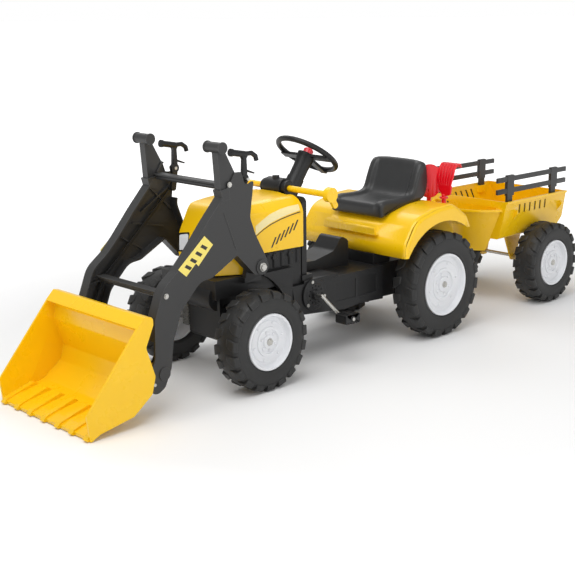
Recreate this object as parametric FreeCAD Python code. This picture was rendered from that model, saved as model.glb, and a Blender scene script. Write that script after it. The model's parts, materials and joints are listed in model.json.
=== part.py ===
import FreeCAD, Part
import math
import os
from FreeCAD import Vector

# A child's pedal tractor with a front loader bucket and a two-wheeled trailer.
# Millimetres. +X points forward to the bucket, +Y to the rider's left, +Z up, ground at z = 0.
# Shapes are drawn with x = 0 at the rear axle and are moved by -originX when written.
originX = 234.1

# Wheels
frontAxleX = 639.0
trailerAxleX = -514.0
smallTyreR = 118.5
smallRimR = 68.0
rearTyreR = 142.0
rearRimR = 84.5
tyreWidth = 72.0
tyreOuterY = 206.0
tyreWall = 4.0
axleR = 5.0
runningGap = 0.05

# Plastic walls
wall = 4.0
thin = 3.0

# Hood and chassis
hoodHalfY = 104.0
hoodNoseX = 702.0
skirtHalfY = 100.0
chassisHalfY = 112.0
rearChassisHalfY = 95.0
carrierHalfY = 58.0
bodyHalfY = 130.0
fenderOuterY = 195.0
fenderArchR = 172.0

# Pedal drive
crankX = 409.0
crankZ = 175.0
crankR = 4.5
pedalX = 357.0
pedalZ = 117.0
pedalY = 177.0
chainY = 20.0
frontSprocketR = 38.0
rearSprocketR = 24.0

# Steering
columnX = 319.0
columnZ = 505.0
columnTilt = 35.4
wheelR = 86.0
wheelTubeR = 7.0
kingpinY = 96.0
tieRodX = 589.0
tieRodZ = 135.0
steerArm = 33.0
shaftLength = 398.0

# Loader
boomPivotX = 613.0
boomPivotZ = 284.0
boomOuterY = 147.0
boomInnerY = 119.0
bucketPivotX = 932.0
bucketPivotZ = 72.0
bucketHalfY = 176.0
bucketWall = 5.0
bucketEarY = 108.0
handlePivotX = 646.0
handlePivotZ = 492.0
rodTopX = 652.0
rodTopZ = 444.0
rodKneeX = 860.0
rodKneeZ = 256.0
rodEndX = 930.0
rodEndZ = 112.0
rodY = 127.0
barX = 424.0
barZ = 434.0

# Trailer
hitchX = -186.0
hitchZ = 146.0
tubTopY = 145.0
tubFloorY = 116.0
tubTopZ = 314.0
tubFloorZ = 200.0
fenceY = 132.0
fenceFootZ = 292.0
bowX = -421.0
bowBackX = -352.0
bowLowR = 96.0
bowTopR = 145.0
toolRestZ = 354.0


# Building blocks

def box(x0, x1, y0, y1, z0, z1):
    return Part.makeBox(x1 - x0, y1 - y0, z1 - z0, Vector(x0, y0, z0))


def cylY(x, z, r, y0, y1):
    return Part.makeCylinder(r, y1 - y0, Vector(x, y0, z), Vector(0, 1, 0))


def cylZ(x, y, r, z0, z1):
    return Part.makeCylinder(r, z1 - z0, Vector(x, y, z0), Vector(0, 0, 1))


def rod(start, end, r):
    a = Vector(*start)
    b = Vector(*end)
    return Part.makeCylinder(r, (b - a).Length, a, b - a)


def bar(points, r):
    """A round bar through the points, with a ball at each bend."""
    pieces = [rod(a, b, r) for a, b in zip(points, points[1:])]
    pieces += [Part.makeSphere(r, Vector(*p)) for p in points[1:-1]]
    return joined(pieces)


def joined(pieces):
    whole = pieces[0]
    if len(pieces) > 1:
        whole = whole.multiFuse(pieces[1:])
    return whole.removeSplitter()


def outline(points, place):
    """A closed wire through (a, b) or (a, b, cornerRadius) points; place turns (a, b) into a Vector."""
    count = len(points)
    starts = []
    arcs = []
    for i in range(count):
        here = Vector(points[i][0], points[i][1], 0)
        before = Vector(points[i - 1][0], points[i - 1][1], 0)
        after = Vector(points[(i + 1) % count][0], points[(i + 1) % count][1], 0)
        radius = points[i][2] if len(points[i]) > 2 else 0
        if not radius:
            starts.append((here, here))
            arcs.append(None)
            continue
        back = (before - here).normalize()
        on = (after - here).normalize()
        half = back.getAngle(on) / 2
        run = radius / math.tan(half)
        middle = (back + on).normalize()
        centre = here + middle * (radius / math.sin(half))
        starts.append((here + back * run, here + on * run))
        arcs.append(centre - middle * radius)
    edges = []
    for i in range(count):
        first, last = starts[i]
        if arcs[i]:
            edges.append(Part.Arc(place(first), place(arcs[i]), place(last)).toShape())
        nextFirst = starts[(i + 1) % count][0]
        if (nextFirst - last).Length > 1e-6:
            edges.append(Part.makeLine(place(last), place(nextFirst)))
    return Part.Wire(Part.__sortEdges__(edges))


def sideFace(points, y=0.0):
    return Part.Face(outline(points, lambda p: Vector(p.x, y, p.y)))


def side(points, y0, y1):
    """A plate whose (x, z) outline is drawn from the side, between y0 and y1."""
    return sideFace(points, y0).extrude(Vector(0, y1 - y0, 0))


def plan(points, z0, z1):
    """A plate whose (x, y) outline is drawn from above, between z0 and z1."""
    face = Part.Face(outline(points, lambda p: Vector(p.x, p.y, z0)))
    return face.extrude(Vector(0, 0, z1 - z0))


def front(points, x0, x1):
    """A plate whose (y, z) outline is drawn from the front, between x0 and x1."""
    face = Part.Face(outline(points, lambda p: Vector(x0, p.x, p.y)))
    return face.extrude(Vector(x1 - x0, 0, 0))


def turned(points, x, z):
    """Turns a (y, radius) outline about the lateral axis through (x, z)."""
    face = Part.Face(outline(points, lambda p: Vector(x, p.x, z + p.y)))
    return face.revolve(Vector(x, 0, z), Vector(0, 1, 0), 360)


def mirrored(shape):
    return shape.mirror(Vector(0, 0, 0), Vector(0, 1, 0))


def both(shape):
    return [shape, mirrored(shape)]


def hexBolt(x, z, y, r, shank, out):
    """A bolt along Y: its washer face at y, its head towards out (+1 or -1), its shank the other way."""
    head = 0.55 * r * 2
    corners = []
    for i in range(6):
        angle = math.radians(60 * i)
        corners.append((x + 1.7 * r * math.cos(angle), z + 1.7 * r * math.sin(angle)))
    low, high = sorted((y, y + out * head))
    end = y - out * shank
    lowS, highS = sorted((y, end))
    washerLow, washerHigh = sorted((y, y + out * 1.2))
    return joined([side(corners, low, high), cylY(x, z, r, lowS, highS), cylY(x, z, 2.1 * r,
        washerLow, washerHigh)])


def save(node, shapes):
    if not isinstance(shapes, list):
        shapes = [shapes]
    shape = shapes[0] if len(shapes) == 1 else Part.makeCompound(shapes)
    shape = shape.copy()
    shape.translate(Vector(-originX, 0, 0))
    shape.exportStep("parts/" + node + ".step")


# Wheels

def rim(x, z, rimR, sideSign, boreR):
    """A dished disc wheel: barrel, raised outer lip, ring step and hub boss with a bore."""
    face = tyreOuterY - 9
    back = tyreOuterY - tyreWidth + 9
    disc = face - 14
    barrelR = rimR - 1.5
    profile = [
        (back, barrelR - 3), (back, barrelR), (face - 6, barrelR), (face - 5, rimR), (face, rimR),
        (face, rimR - 4), (disc, rimR - 9), (disc, rimR * 0.62), (disc + 4, rimR * 0.56),
        (disc + 4, 22), (face - 5, 19), (face - 5, boreR), (back + 2, boreR), (back + 2, 14),
        (disc - thin, 14), (disc - thin, rimR - 12), (disc - thin, barrelR - 3),
    ]
    wheel = turned(profile, x, z)
    bosses = []
    for i in range(6):
        angle = math.radians(60 * i + 30)
        reach = rimR * 0.42
        bosses.append(cylY(x + reach * math.cos(angle), z + reach * math.sin(angle), 4.5, disc, disc + 6))
    wheel = joined([wheel] + bosses)
    return wheel if sideSign > 0 else mirrored(wheel)


def tyre(x, z, tyreR, rimR, sideSign):
    """A hollow chunky tyre, open towards the rim."""
    out = tyreOuterY
    back = tyreOuterY - tyreWidth
    bead = rimR - 1.2
    shoulder = tyreR - 10
    bulge = rimR + 18
    profile = [
        (out - 15.5, bead), (out - 15.5, rimR + 0.5), (out - 8, rimR + 0.5), (out - 2, bulge,
            10), (out, shoulder, 8),
        (out - 9, tyreR, 6), (back + 9, tyreR, 6), (back, shoulder, 8), (back + 2, bulge,
            10), (back + 8, bead),
        (back + 8 + tyreWall, bead), (back + 2 + tyreWall, bulge), (back + tyreWall, shoulder - 2),
        (back + 12, tyreR - tyreWall), (out - 12, tyreR - tyreWall), (out - tyreWall, shoulder - 2),
        (out - 2 - tyreWall, bulge), (out - 12, rimR + 3), (out - 19, rimR + 3), (out - 19, bead),
    ]
    ring = turned(profile, x, z)
    return ring if sideSign > 0 else mirrored(ring)


# Chassis body

def lowerChassis():
    """The black moulded chassis: pedal box, footboards, chain tunnel, front carrier and bumper roll."""
    roof = 206.0
    boxOutline = [(-70, 116, 8), (113, 114), (237, 120), (290, 115), (372, 122), (470, 131, 12), (482,
        roof), (-70, roof)]
    inner = [(-66, 100), (113, 100), (372, 100), (466, 100), (478, roof - wall), (-66, roof - wall)]
    narrow = box(-80, 150, -rearChassisHalfY, rearChassisHalfY, 100, roof)
    wide = box(150, 500, -chassisHalfY, chassisHalfY, 100, roof)
    pedalBox = side(boxOutline, -chassisHalfY, chassisHalfY).common(joined([narrow, wide]))
    narrowIn = box(-80, 146, wall - rearChassisHalfY, rearChassisHalfY - wall, 90, roof)
    wideIn = box(146, 500, wall - chassisHalfY, chassisHalfY - wall, 90, roof)
    hollow = side(inner, -chassisHalfY, chassisHalfY).common(joined([narrowIn, wideIn]))
    # footboard steps each side of the chain tunnel
    stepTop = 226.0
    steps = both(joined([box(322, 440, 46, chassisHalfY - 1, roof - 1, roof + 8), box(404, 440, 46,
        104, roof - 1, stepTop)]))
    tunnelLine = [(206, roof - 1), (206, 272, 14), (232, 286, 14), (262, 250, 20), (330, 236, 10),
        (438, 240), (438, roof - 1)]
    tunnel = side(tunnelLine, -38, 38)
    tunnelInLine = [(202, 190), (202, 268), (232, 281), (258, 246), (330, 232), (440, 236), (440, 190)]
    tunnelIn = side(tunnelInLine, -34, 34)
    # front carrier between the front wheels, with the roll-shaped bumper above the axle
    carrierLine = [(466, 150), (500, 100, 8), (655, 90, 12), (669, 100, 8), (669, 216), (466, 216)]
    carrier = side(carrierLine, -carrierHalfY, carrierHalfY)
    carrierInLine = [(486, 154), (502, 86), (652, 80), (664, 104), (664, 210), (486, 210)]
    carrierIn = side(carrierInLine, wall - carrierHalfY, carrierHalfY - wall)
    roll = cylY(690, 214, 34, -84, 84).cut(cylY(690, 214, 34 - wall, -80, 80))
    roll = roll.cut(box(480, 698, -100, 100, 150, 214))
    deck = box(482, 716, -skirtHalfY, skirtHalfY, 214, 258)
    deckIn = box(486, 712, wall - skirtHalfY, skirtHalfY - wall, 206, 254)
    # blocks behind the front wheels, hollowed towards the middle
    arch = box(481.4, 575, carrierHalfY + 4, chassisHalfY, 131, 256).cut(cylY(frontAxleX, smallTyreR,
        147, 50, 120))
    archIn = box(486, 571, carrierHalfY, chassisHalfY - wall, 120, 252).cut(cylY(frontAxleX,
        smallTyreR, 151, 50, 120))
    plinth = box(100, 164, -90, 90, roof - 1, 234.6).cut(box(104, 160, -86, 86, roof - 2, 230.6))
    shell = joined([pedalBox, tunnel, carrier, deck, roll, plinth] + steps + both(arch))
    shell = shell.cut(hollow).cut(tunnelIn).cut(carrierIn).cut(deckIn).cut(archIn).cut(mirrored(archIn))
    # side panel fields and ribs on the pedal box
    fields = [box(x0, x1, chassisHalfY - 1.5, chassisHalfY + 1, 140, 190) for x0, x1 in ((176, 246),
        (256, 330))]
    for field in fields:
        shell = shell.cut(field).cut(mirrored(field))
    # ears that carry the loader's side arms
    ear = side([(588, 244), (597, 302, 14), (629, 302, 14), (640, 244)], hoodHalfY + 0.4, boomInnerY - 2)
    shelf = box(588, 640, skirtHalfY - 3, boomInnerY - 2, 244, 256)
    shell = joined([shell] + both(ear) + both(shelf))
    # bores: crank, rear axle, steering column foot, loader pivots
    shell = shell.cut(cylY(crankX, crankZ, 16.2, -130, 130)).cut(cylY(0, rearTyreR, 12.2, -130, 130))
    shell = shell.cut(cylY(boomPivotX, boomPivotZ, axleR, -130, 130))
    axis = columnAxis()
    foot = Vector(columnX, 0, columnZ) - axis * 425
    shell = shell.cut(Part.makeCylinder(9, 300, foot, axis))
    # openings for the tie rod, the front beam and the top of the chain
    shell = shell.cut(box(566, 612, -70, 70, 112, 168))
    shell = shell.cut(box(frontAxleX - 16.2, frontAxleX + 16.2, -70, 70, 175.8, 184.2))
    shell = shell.cut(box(436, 462, chainY - 8, chainY + 8, 196, 240))
    return shell


def frontBeam():
    """The steel beam across the front carrier, with an eye for a kingpin at each end."""
    top = 206.0
    low = 176.0
    beam = box(frontAxleX - 16, frontAxleX + 16, -kingpinY, kingpinY, low, top - 22)
    eyes = [cylZ(frontAxleX, s * kingpinY, 12, low, top - 22) for s in (1, -1)]
    beam = joined([beam] + eyes)
    for s in (1, -1):
        beam = beam.cut(cylZ(frontAxleX, s * kingpinY, 4 + runningGap, low - 5, top))
    return beam


def firewall():
    """The black panel behind the hood that closes it off and frames the steering column."""
    panel = front([(-97, 207), (97, 207), (97, 418, 14), (-97, 418, 14)], 418, 434)
    panelIn = front([(-92, 200), (92, 200), (92, 413, 10), (-92, 413, 10)], 422, 440)
    panel = panel.cut(panelIn)
    axis = columnAxis()
    start = Vector(columnX, 0, columnZ) - axis * 175
    tube = Part.makeCylinder(22, 105, start, axis)
    web = box(380, 420, -14, 14, 360, 412)
    whole = joined([panel, tube, web])
    whole = whole.cut(box(400, 450, -130, 130, 200, 226.3)).cut(box(400, 450, -38.4, 38.4, 200, 241))
    whole = whole.cut(cylY(barX, barZ, 24.3, -60, 60))
    return whole.cut(Part.makeCylinder(15.3, 400, start - axis * 100, axis))


def hoodSolid(inset):
    """The hood's outer form, or its inside when inset is the wall: that one runs out below and behind."""
    rear = 436 - 3 * inset
    drop = 3 * inset
    top = 428 - inset
    nose = hoodNoseX - inset
    y = hoodHalfY - inset
    line = [
        (rear, 300 - drop), (rear, top), (560, top - 4, 120), (nose - 70, top - 20, 60), (nose - 14,
            340, 40),
        (nose, 262 - drop), (609, 259 - drop), (568, 303 - drop),
    ]
    above = [(rear - 20, -y), (600, -y, 90), (nose, -62, 40), (nose, 62, 40), (600, y, 90),
        (rear - 20, y)]
    across = [(-y - 0.3, 160), (-y - 0.3, top - 10, 44), (0, top + 3, 200), (y + 0.3, top - 10, 44),
        (y + 0.3, 160)]
    return side(line, -hoodHalfY - 10, hoodHalfY + 10).common(plan(above, 150,
        450)).common(front(across, rear - 10, nose + 10))


def hood():
    """The yellow hood, open underneath and behind."""
    shell = hoodSolid(0).cut(hoodSolid(wall))
    for pocket in headlightPockets(0):
        shell = shell.cut(pocket)
    shell = shell.cut(cylY(barX, barZ, 26, -60, 60))
    axis = columnAxis()
    return shell.cut(Part.makeCylinder(24, 260, Vector(columnX, 0, columnZ) - axis * 230, axis))


def headlightPockets(inset):
    i = inset
    eye = front([(22 + i, 306 + i, 6), (74 - i, 300 + i, 10), (78 - i, 344 - i, 14), (30 + i, 352 - i,
        10)], 630, hoodNoseX + 3)
    return both(eye)


def headlightFrames():
    """Black trays that fill the two slanted openings in the hood's nose."""
    frames = []
    for outer, inner in zip(headlightPockets(0.3), headlightPockets(4)):
        ring = outer.common(hoodSolid(1.5)).cut(inner)
        floor = outer.common(hoodSolid(7)).cut(box(560, 650, -100, 100, 290, 360))
        frames.append(joined([ring.cut(box(560, 650, -100, 100, 290, 360)), floor]))
    return frames


def headlightLenses():
    lenses = []
    for inner in headlightPockets(4.3):
        lenses.append(inner.common(hoodSolid(2)).cut(hoodSolid(6.8)).cut(box(560, 650, -100, 100, 290,
            360)))
    return lenses


def enginePanel():
    """A black side block under the hood with upright cylinders and ribs."""
    outer = skirtHalfY + 4
    block = side([(441, 207), (441, 299), (560, 299), (602, 263), (602, 259), (481, 259), (481, 207)],
        60, skirtHalfY)
    ribs = []
    for x in (452, 478, 504, 530, 552):
        ribs.append(cylZ(x, skirtHalfY - 2, 6.5, 262, 296))
    caps = [box(x - 8, x + 8, skirtHalfY - 1, outer, 282, 290) for x in (478, 530)]
    block = joined([block] + ribs + caps)
    return block.cut(box(445, 477, 50, skirtHalfY - wall, 211, 295)).cut(box(476, 556, 50,
        skirtHalfY - wall, 263, 295))


def rearBodyLine(i):
    return [
        (158 - i, 235), (156 - i, 268, 30), (112, 334 - i, 70), (30, 352 - i, 160), (-40, 356 - i, 60),
        (-100 + i, 318 - i, 24), (-118 + i, 283), (-118 + i, 235),
    ]


def rearBody():
    """The yellow body under the seat, with a hollow fender over each rear wheel."""
    outer = side(rearBodyLine(0), -fenderOuterY, fenderOuterY)
    crown = [e for e in outer.Edges if e.BoundBox.YLength < 1 and e.BoundBox.ZMin > 240 and e.Length > 12]
    outer = outer.makeFillet(14, crown)
    inside = side(rearBodyLine(wall), wall - bodyHalfY, bodyHalfY - wall)
    shell = outer.cut(inside)
    fenderIn = side(rearBodyLine(wall), bodyHalfY, fenderOuterY - wall)
    archCut = cylY(0, rearTyreR, fenderArchR, bodyHalfY, fenderOuterY + 5)
    belowRear = box(-130, -20, bodyHalfY, fenderOuterY + 5, 200, 284)
    for cutter in (fenderIn, archCut, belowRear):
        shell = shell.cut(cutter).cut(mirrored(cutter))
    # the open bottom sits on the chassis
    shell = shell.cut(box(-126, -110, wall - bodyHalfY, bodyHalfY - wall, 200, 262))
    # seat base band across the front
    band = side([(120, 284), (164, 284, 4), (164, 306, 5), (120, 314)], -92, 92)
    shell = joined([shell, band.cut(side([(110, 288), (160, 288), (160, 303), (110, 310)], -88, 88))])
    for place in toolPlaces:
        x, y = place
        shell = shell.cut(cylZ(x, y, 9, 300, 380))
    return shell


toolPlaces = [(-84, 70), (-92, 116)]


def seat():
    """The black moulded seat: pan, backrest with raised side wings and a rolled top."""
    panLine = [(134, 318, 8), (136, 364, 12), (50, 370, 40), (6, 380, 20), (-20, 440), (-26, 462, 8),
        (-44, 462, 8), (-52, 400), (-34, 357.5)]
    full = side(panLine + [(30, 354), (112, 336)], -94, 94)
    scoop = side([(128, 372), (126, 356, 10), (50, 360, 30), (2, 372, 24), (-28, 446, 8), (-34, 480),
        (140, 480)], -70, 70)
    shell = full.cut(scoop)
    return shell.cut(side([(-44, 350), (-56, 400), (-42, 452), (-36, 452), (-20, 392), (-24, 350)],
        -86, 86))


def cowlDrum():
    """The banded roll on the hood that carries the loader control bar."""
    profile = [(-44, 8 + runningGap), (-44, 19, 2), (-30, 19), (-30, 24, 2), (30, 24, 2), (30, 19),
        (44, 19, 2), (44, 8 + runningGap)]
    drum = turned(profile, barX, barZ)
    nub = cylZ(barX + 4, 0, 9, barZ + 20, barZ + 29)
    return joined([drum, nub.cut(cylY(barX, barZ, 20, -50, 50))])


def controlBar():
    """The yellow bar through the roll, with a round paddle at each end."""
    shaft = cylY(barX, barZ, 8, -182, 182)
    ends = []
    for s in (1, -1):
        low, high = sorted((s * 176, s * 192))
        ends.append(cylY(barX, barZ, 18, low, high))
        lever = side([(barX - 8, barZ), (barX - 26, barZ - 30, 6), (barX - 12, barZ - 36, 6),
            (barX + 10, barZ)], low + 4, high - 4)
        ends.append(lever)
    return joined([shaft] + ends)


# Pedal drive

def crankRod():
    """One bent steel rod: shaft, an arm each side half a turn apart, a pin for each pedal."""
    out = 142.0
    pin = pedalY + 24
    dx = pedalX - crankX
    dz = pedalZ - crankZ
    points = []
    for s in (-1, 1):
        line = [
            (crankX + s * dx, s * pin, crankZ + s * dz),
            (crankX + s * dx, s * (pedalY - 22), crankZ + s * dz),
            (crankX, s * out, crankZ),
        ]
        points += line if s < 0 else line[::-1]
    return bar(points, crankR)


def pedal(s):
    """A ribbed block pedal that turns on the crank's pin."""
    x = crankX + s * (pedalX - crankX)
    z = crankZ + s * (pedalZ - crankZ)
    low, high = sorted((s * (pedalY - 16), s * (pedalY + 21)))
    halfX = 25
    halfZ = 12
    corners = [(x - halfX, z - halfZ, 5), (x + halfX, z - halfZ, 5), (x + halfX, z + halfZ, 5),
        (x - halfX, z + halfZ, 5)]
    block = side(corners, low, high)
    for k in (-2, -1, 1, 2):
        groove = box(x + k * 9 - 2, x + k * 9 + 2, low - 1, high + 1, z + halfZ - 4, z + halfZ + 1)
        block = block.cut(groove)
        block = block.cut(box(x + k * 9 - 2, x + k * 9 + 2, low - 1, high + 1, z - halfZ - 1,
            z - halfZ + 4))
    return block.cut(cylY(x, z, crankR + runningGap, low - 5, high + 5))


def sprocket(x, z, r, boreR, teeth):
    disc = cylY(x, z, r - 4, chainY - 1.5, chainY + 1.5)
    points = []
    for i in range(teeth):
        for fraction, reach in ((0.0, r - 5), (0.3, r), (0.7, r), (1.0, r - 5)):
            if fraction == 1.0:
                continue
            angle = 2 * math.pi * (i + fraction) / teeth
            points.append((x + reach * math.cos(angle), z + reach * math.sin(angle)))
    gear = side(points, chainY - 1.5, chainY + 1.5)
    hub = cylY(x, z, boreR + 6, chainY - 8, chainY + 8)
    return joined([disc, gear, hub]).cut(cylY(x, z, boreR, chainY - 20, chainY + 20))


def driveChain():
    """The chain's run around both sprockets as one thin open belt, clear of the teeth."""
    gap = 3.0
    big = frontSprocketR + gap
    small = rearSprocketR + gap
    dx = crankX
    dz = crankZ - rearTyreR
    along = math.atan2(dz, dx)
    spread = math.acos((big - small) / math.hypot(dx, dz))

    def belt(extra):
        points = []
        for sign in (1, -1):
            angle = along + sign * spread
            start = Vector(crankX + (big + extra) * math.cos(angle), 0,
                crankZ + (big + extra) * math.sin(angle))
            end = Vector((small + extra) * math.cos(angle), 0,
                rearTyreR + (small + extra) * math.sin(angle))
            points.append((start, end))
        (upA, upB), (lowA, lowB) = points
        nose = Vector(crankX + (big + extra) * math.cos(along), 0,
            crankZ + (big + extra) * math.sin(along))
        tail = Vector(-(small + extra) * math.cos(along), 0,
            rearTyreR - (small + extra) * math.sin(along))
        edges = [
            Part.makeLine(upA, upB), Part.Arc(upB, tail, lowB).toShape(),
            Part.makeLine(lowB, lowA), Part.Arc(lowA, nose, upA).toShape(),
        ]
        face = Part.Face(Part.Wire(edges))
        face.translate(Vector(0, chainY - 3.5, 0))
        return face.extrude(Vector(0, 7, 0))
    return belt(5).cut(belt(0))


def crankCover():
    """The round bearing cover on the chassis side, with a ring of small dimples."""
    face = chassisHalfY + 0.2
    profile = [(face - 14, crankR + runningGap), (face - 14, 16), (face, 16), (face, 40), (face + 5,
        40, 1.5), (face + 5, 29.5), (face + 7, 27.5), (face + 7, 14), (face + 14, 12), (face + 14,
        crankR + runningGap)]
    cover = turned(profile, crankX, crankZ)
    for i in range(12):
        angle = math.radians(30 * i)
        cover = cover.cut(cylY(crankX + 22 * math.cos(angle), crankZ + 22 * math.sin(angle), 2,
            face + 4, face + 9))
    for x, z in crankBoltPlaces():
        cover = cover.cut(cylY(x, z, 2.05, face, face + 9))
    return cover


def crankBoltPlaces():
    angles = [math.radians(120 * i + 75) for i in range(3)]
    return [(crankX + 34 * math.cos(a), crankZ + 34 * math.sin(a)) for a in angles]


def crankCoverBolts():
    face = chassisHalfY + 5.25
    bolts = [hexBolt(x, z, face, 2, 4, 1) for x, z in crankBoltPlaces()]
    return bolts + [mirrored(b) for b in bolts]


def rearBush():
    face = rearChassisHalfY + 0.2
    profile = [(face - 14, axleR + runningGap), (face - 14, 12), (face, 12), (face, 18), (face + 6,
        18), (face + 6, axleR + runningGap)]
    return turned(profile, 0, rearTyreR)


def hubNut(x, z):
    face = tyreOuterY - 14
    nut = []
    for i in range(6):
        angle = math.radians(60 * i)
        nut.append((x + 9 * math.cos(angle), z + 9 * math.sin(angle)))
    return joined([side(nut, face + 2, face + 9), cylY(x, z, 13, face + 0.3, face + 2.2)]).cut(cylY(x,
        z, axleR, 0, 300))


# Steering

def columnAxis():
    tilt = math.radians(columnTilt)
    return Vector(-math.sin(tilt), 0, math.cos(tilt))


def steeringShaft():
    """The steel shaft down the column, bent at its foot into a pin that works the tie rod."""
    axis = columnAxis()
    back = Vector(-axis.z, 0, axis.x)
    top = Vector(columnX, 0, columnZ) - axis * 26
    foot = Vector(columnX, 0, columnZ) - axis * shaftLength
    elbow = foot + back * steerArm
    end = elbow - axis * 44
    return bar([tuple(top), tuple(foot), tuple(elbow), tuple(end)], 6)


def steeringWheel():
    """A three-spoke wheel with a deep hub and a collar that grips the column."""
    axis = columnAxis()
    centre = Vector(columnX, 0, columnZ)
    ring = Part.makeTorus(wheelR - wheelTubeR, wheelTubeR, centre, axis)
    hub = Part.makeCone(20, 24, 36, centre - axis * 38, axis)
    collar = Part.makeCylinder(20, 34, centre - axis * 69.5, axis)
    across = Vector(0, 1, 0)
    back = Vector(-axis.z, 0, axis.x)
    spokes = []
    for angle in (0, 180, 90):
        a = math.radians(angle)
        way = across * math.cos(a) + back * math.sin(a)
        spoke = Part.makeBox(62, 20, 7, Vector(20, -10, -10))
        turn = FreeCAD.Rotation(way, axis.cross(way), axis, "ZXY")
        spoke.Placement = FreeCAD.Placement(centre, turn)
        spokes.append(spoke)
    wheel = joined([ring, hub, collar] + spokes)
    wheel = wheel.cut(Part.makeCylinder(7, 60, centre - axis * 70, axis))
    return wheel.cut(Part.makeCylinder(13.2, 14, centre - axis * 6, axis))


def hornButton():
    axis = columnAxis()
    centre = Vector(columnX, 0, columnZ)
    stem = Part.makeCylinder(12.8, 14.5, centre - axis * 2.5, axis)
    dome = Part.makeSphere(14.5, centre + axis * 4).common(Part.makeCylinder(14, 20,
        centre + axis * 10, axis))
    return joined([stem, dome])


def knuckle(s):
    """A bent steel bracket: kingpin, steering arm and stub axle in one."""
    y = s * kingpinY
    pin = cylZ(frontAxleX, y, 4, smallTyreR, 196)
    head = cylZ(frontAxleX, y, 9, 188, 194)
    low, high = sorted((s * (kingpinY - 10), s * (kingpinY + 12)))
    yoke = box(frontAxleX - 12, frontAxleX + 12, low, high, smallTyreR - 14, 172)
    low, high = sorted((s * (kingpinY + 6), s * (tyreOuterY - 4)))
    stub = cylY(frontAxleX, smallTyreR, axleR, low, high)
    arm = side([(tieRodX - 9, 146, 4), (tieRodX - 9, 156, 4), (frontAxleX, 156), (frontAxleX, 146)],
        *sorted((y - 8, y + 8)))
    armPin = cylZ(tieRodX, y, 3.5, 122, 150)
    bracket = joined([pin, head, yoke, stub, arm, armPin])
    face = tyreOuterY - 14
    nut = hubNut(frontAxleX, smallTyreR)
    nut = nut if s > 0 else mirrored(nut)
    return joined([bracket, nut])


def tieRod():
    """The flat bar between the steering arms, with a slotted tab in its middle for the shaft's pin."""
    low = 130
    high = 142
    strip = box(tieRodX - 9, tieRodX + 9, -kingpinY - 9, kingpinY + 9, low, high)
    tab = box(512, tieRodX, -17, 17, low, high)
    strip = joined([strip, tab])
    for s in (1, -1):
        pin = cylZ(tieRodX, s * kingpinY, 4.6, low - 5, high + 5)
        strip = strip.cut(pin).cut(cylZ(tieRodX + 3.4, s * kingpinY, 4.6, low - 5, high + 5))
    return strip.cut(box(522, 562, -8.6, 8.6, low - 5, high + 5))


# Loader

boomBoltPlaces = [(894, 265), (707, 487)]

boomLine = [
    (729, 458, 6), (776, 407, 60), (828, 346), (860, 313, 40), (900, 283, 60), (927, 215, 60), (929,
        130, 30), (957, 76, 22),
    (932, 45, 20), (905, 60, 24), (886, 100, 30), (878, 160, 60), (852, 226, 50), (798, 280,
        40), (762, 284, 30), (688, 323, 4),
    (634, 268, 14), (592, 268, 14), (596, 300, 14), (630, 361, 20), (647, 405, 30), (634, 489,
        3), (648, 482, 3), (662, 484, 3), (672, 512, 4),
    (690, 512, 8), (708, 486, 6),
]


def boom():
    """One loader arm: a channel pressed outwards, with a web, a flange all round and ribs."""
    face = sideFace(boomLine, boomInnerY)
    inner = face.makeOffset2D(-wall)
    solid = face.extrude(Vector(0, boomOuterY - boomInnerY, 0))
    pocket = inner.extrude(Vector(0, boomOuterY - boomInnerY - wall, 0))
    channel = solid.cut(pocket)
    ribY = boomOuterY - wall
    ribs = []
    for x0, z0, x1, z1 in ((652, 392, 716, 452), (650, 452, 742, 396), (676, 352, 770, 372), (744,
        306, 806, 344), (868, 248, 906, 246)):
        way = Vector(x1 - x0, 0, z1 - z0)
        length = way.Length
        rib = box(0, length, ribY - 7, ribY + 1, -1.5, 1.5)
        rib.rotate(Vector(0, 0, 0), Vector(0, 1, 0), -math.degrees(math.atan2(z1 - z0, x1 - x0)))
        rib.translate(Vector(x0, 0, z0))
        ribs.append(rib)
    boss = cylY(boomPivotX, boomPivotZ, 18, boomInnerY, boomOuterY + 3)
    lowBoss = cylY(bucketPivotX, bucketPivotZ, 15, boomInnerY, boomOuterY)
    cap = cylY(906, 92, 15, boomOuterY - 1, boomOuterY + 2.5)
    channel = joined([channel, boss, lowBoss, cap] + ribs)
    channel = channel.cut(cylY(boomPivotX, boomPivotZ, axleR + runningGap, 90, 170))
    channel = channel.cut(cylY(bucketPivotX, bucketPivotZ, 4 + runningGap, 90, 170))
    # gap in the front flange where the pull rod comes out, and in the top flange for the tilt handle
    channel = channel.cut(box(912, 966, boomInnerY - 1, boomOuterY - wall - 1, 90, 168))
    channel = channel.cut(box(622, 684, boomInnerY - 1, boomOuterY - wall - 1, 470, 520))
    channel = channel.cut(box(628, 654, boomInnerY - 1, boomOuterY - wall - 1, 420, 472))
    for x, z in boomBoltPlaces:
        channel = channel.cut(cylY(x, z, 3, boomInnerY, boomOuterY))
    return channel.cut(liftGrip())


def crossbar(x, z, r):
    length = boomOuterY - wall - 0.2
    flat = box(x - 12, x + 12, -boomInnerY + 0.2, boomInnerY - 0.2, z + 5, z + 9)
    tube = cylY(x, z, r, 0.2 - boomInnerY, boomInnerY - 0.2)
    return joined([tube, flat])


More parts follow.
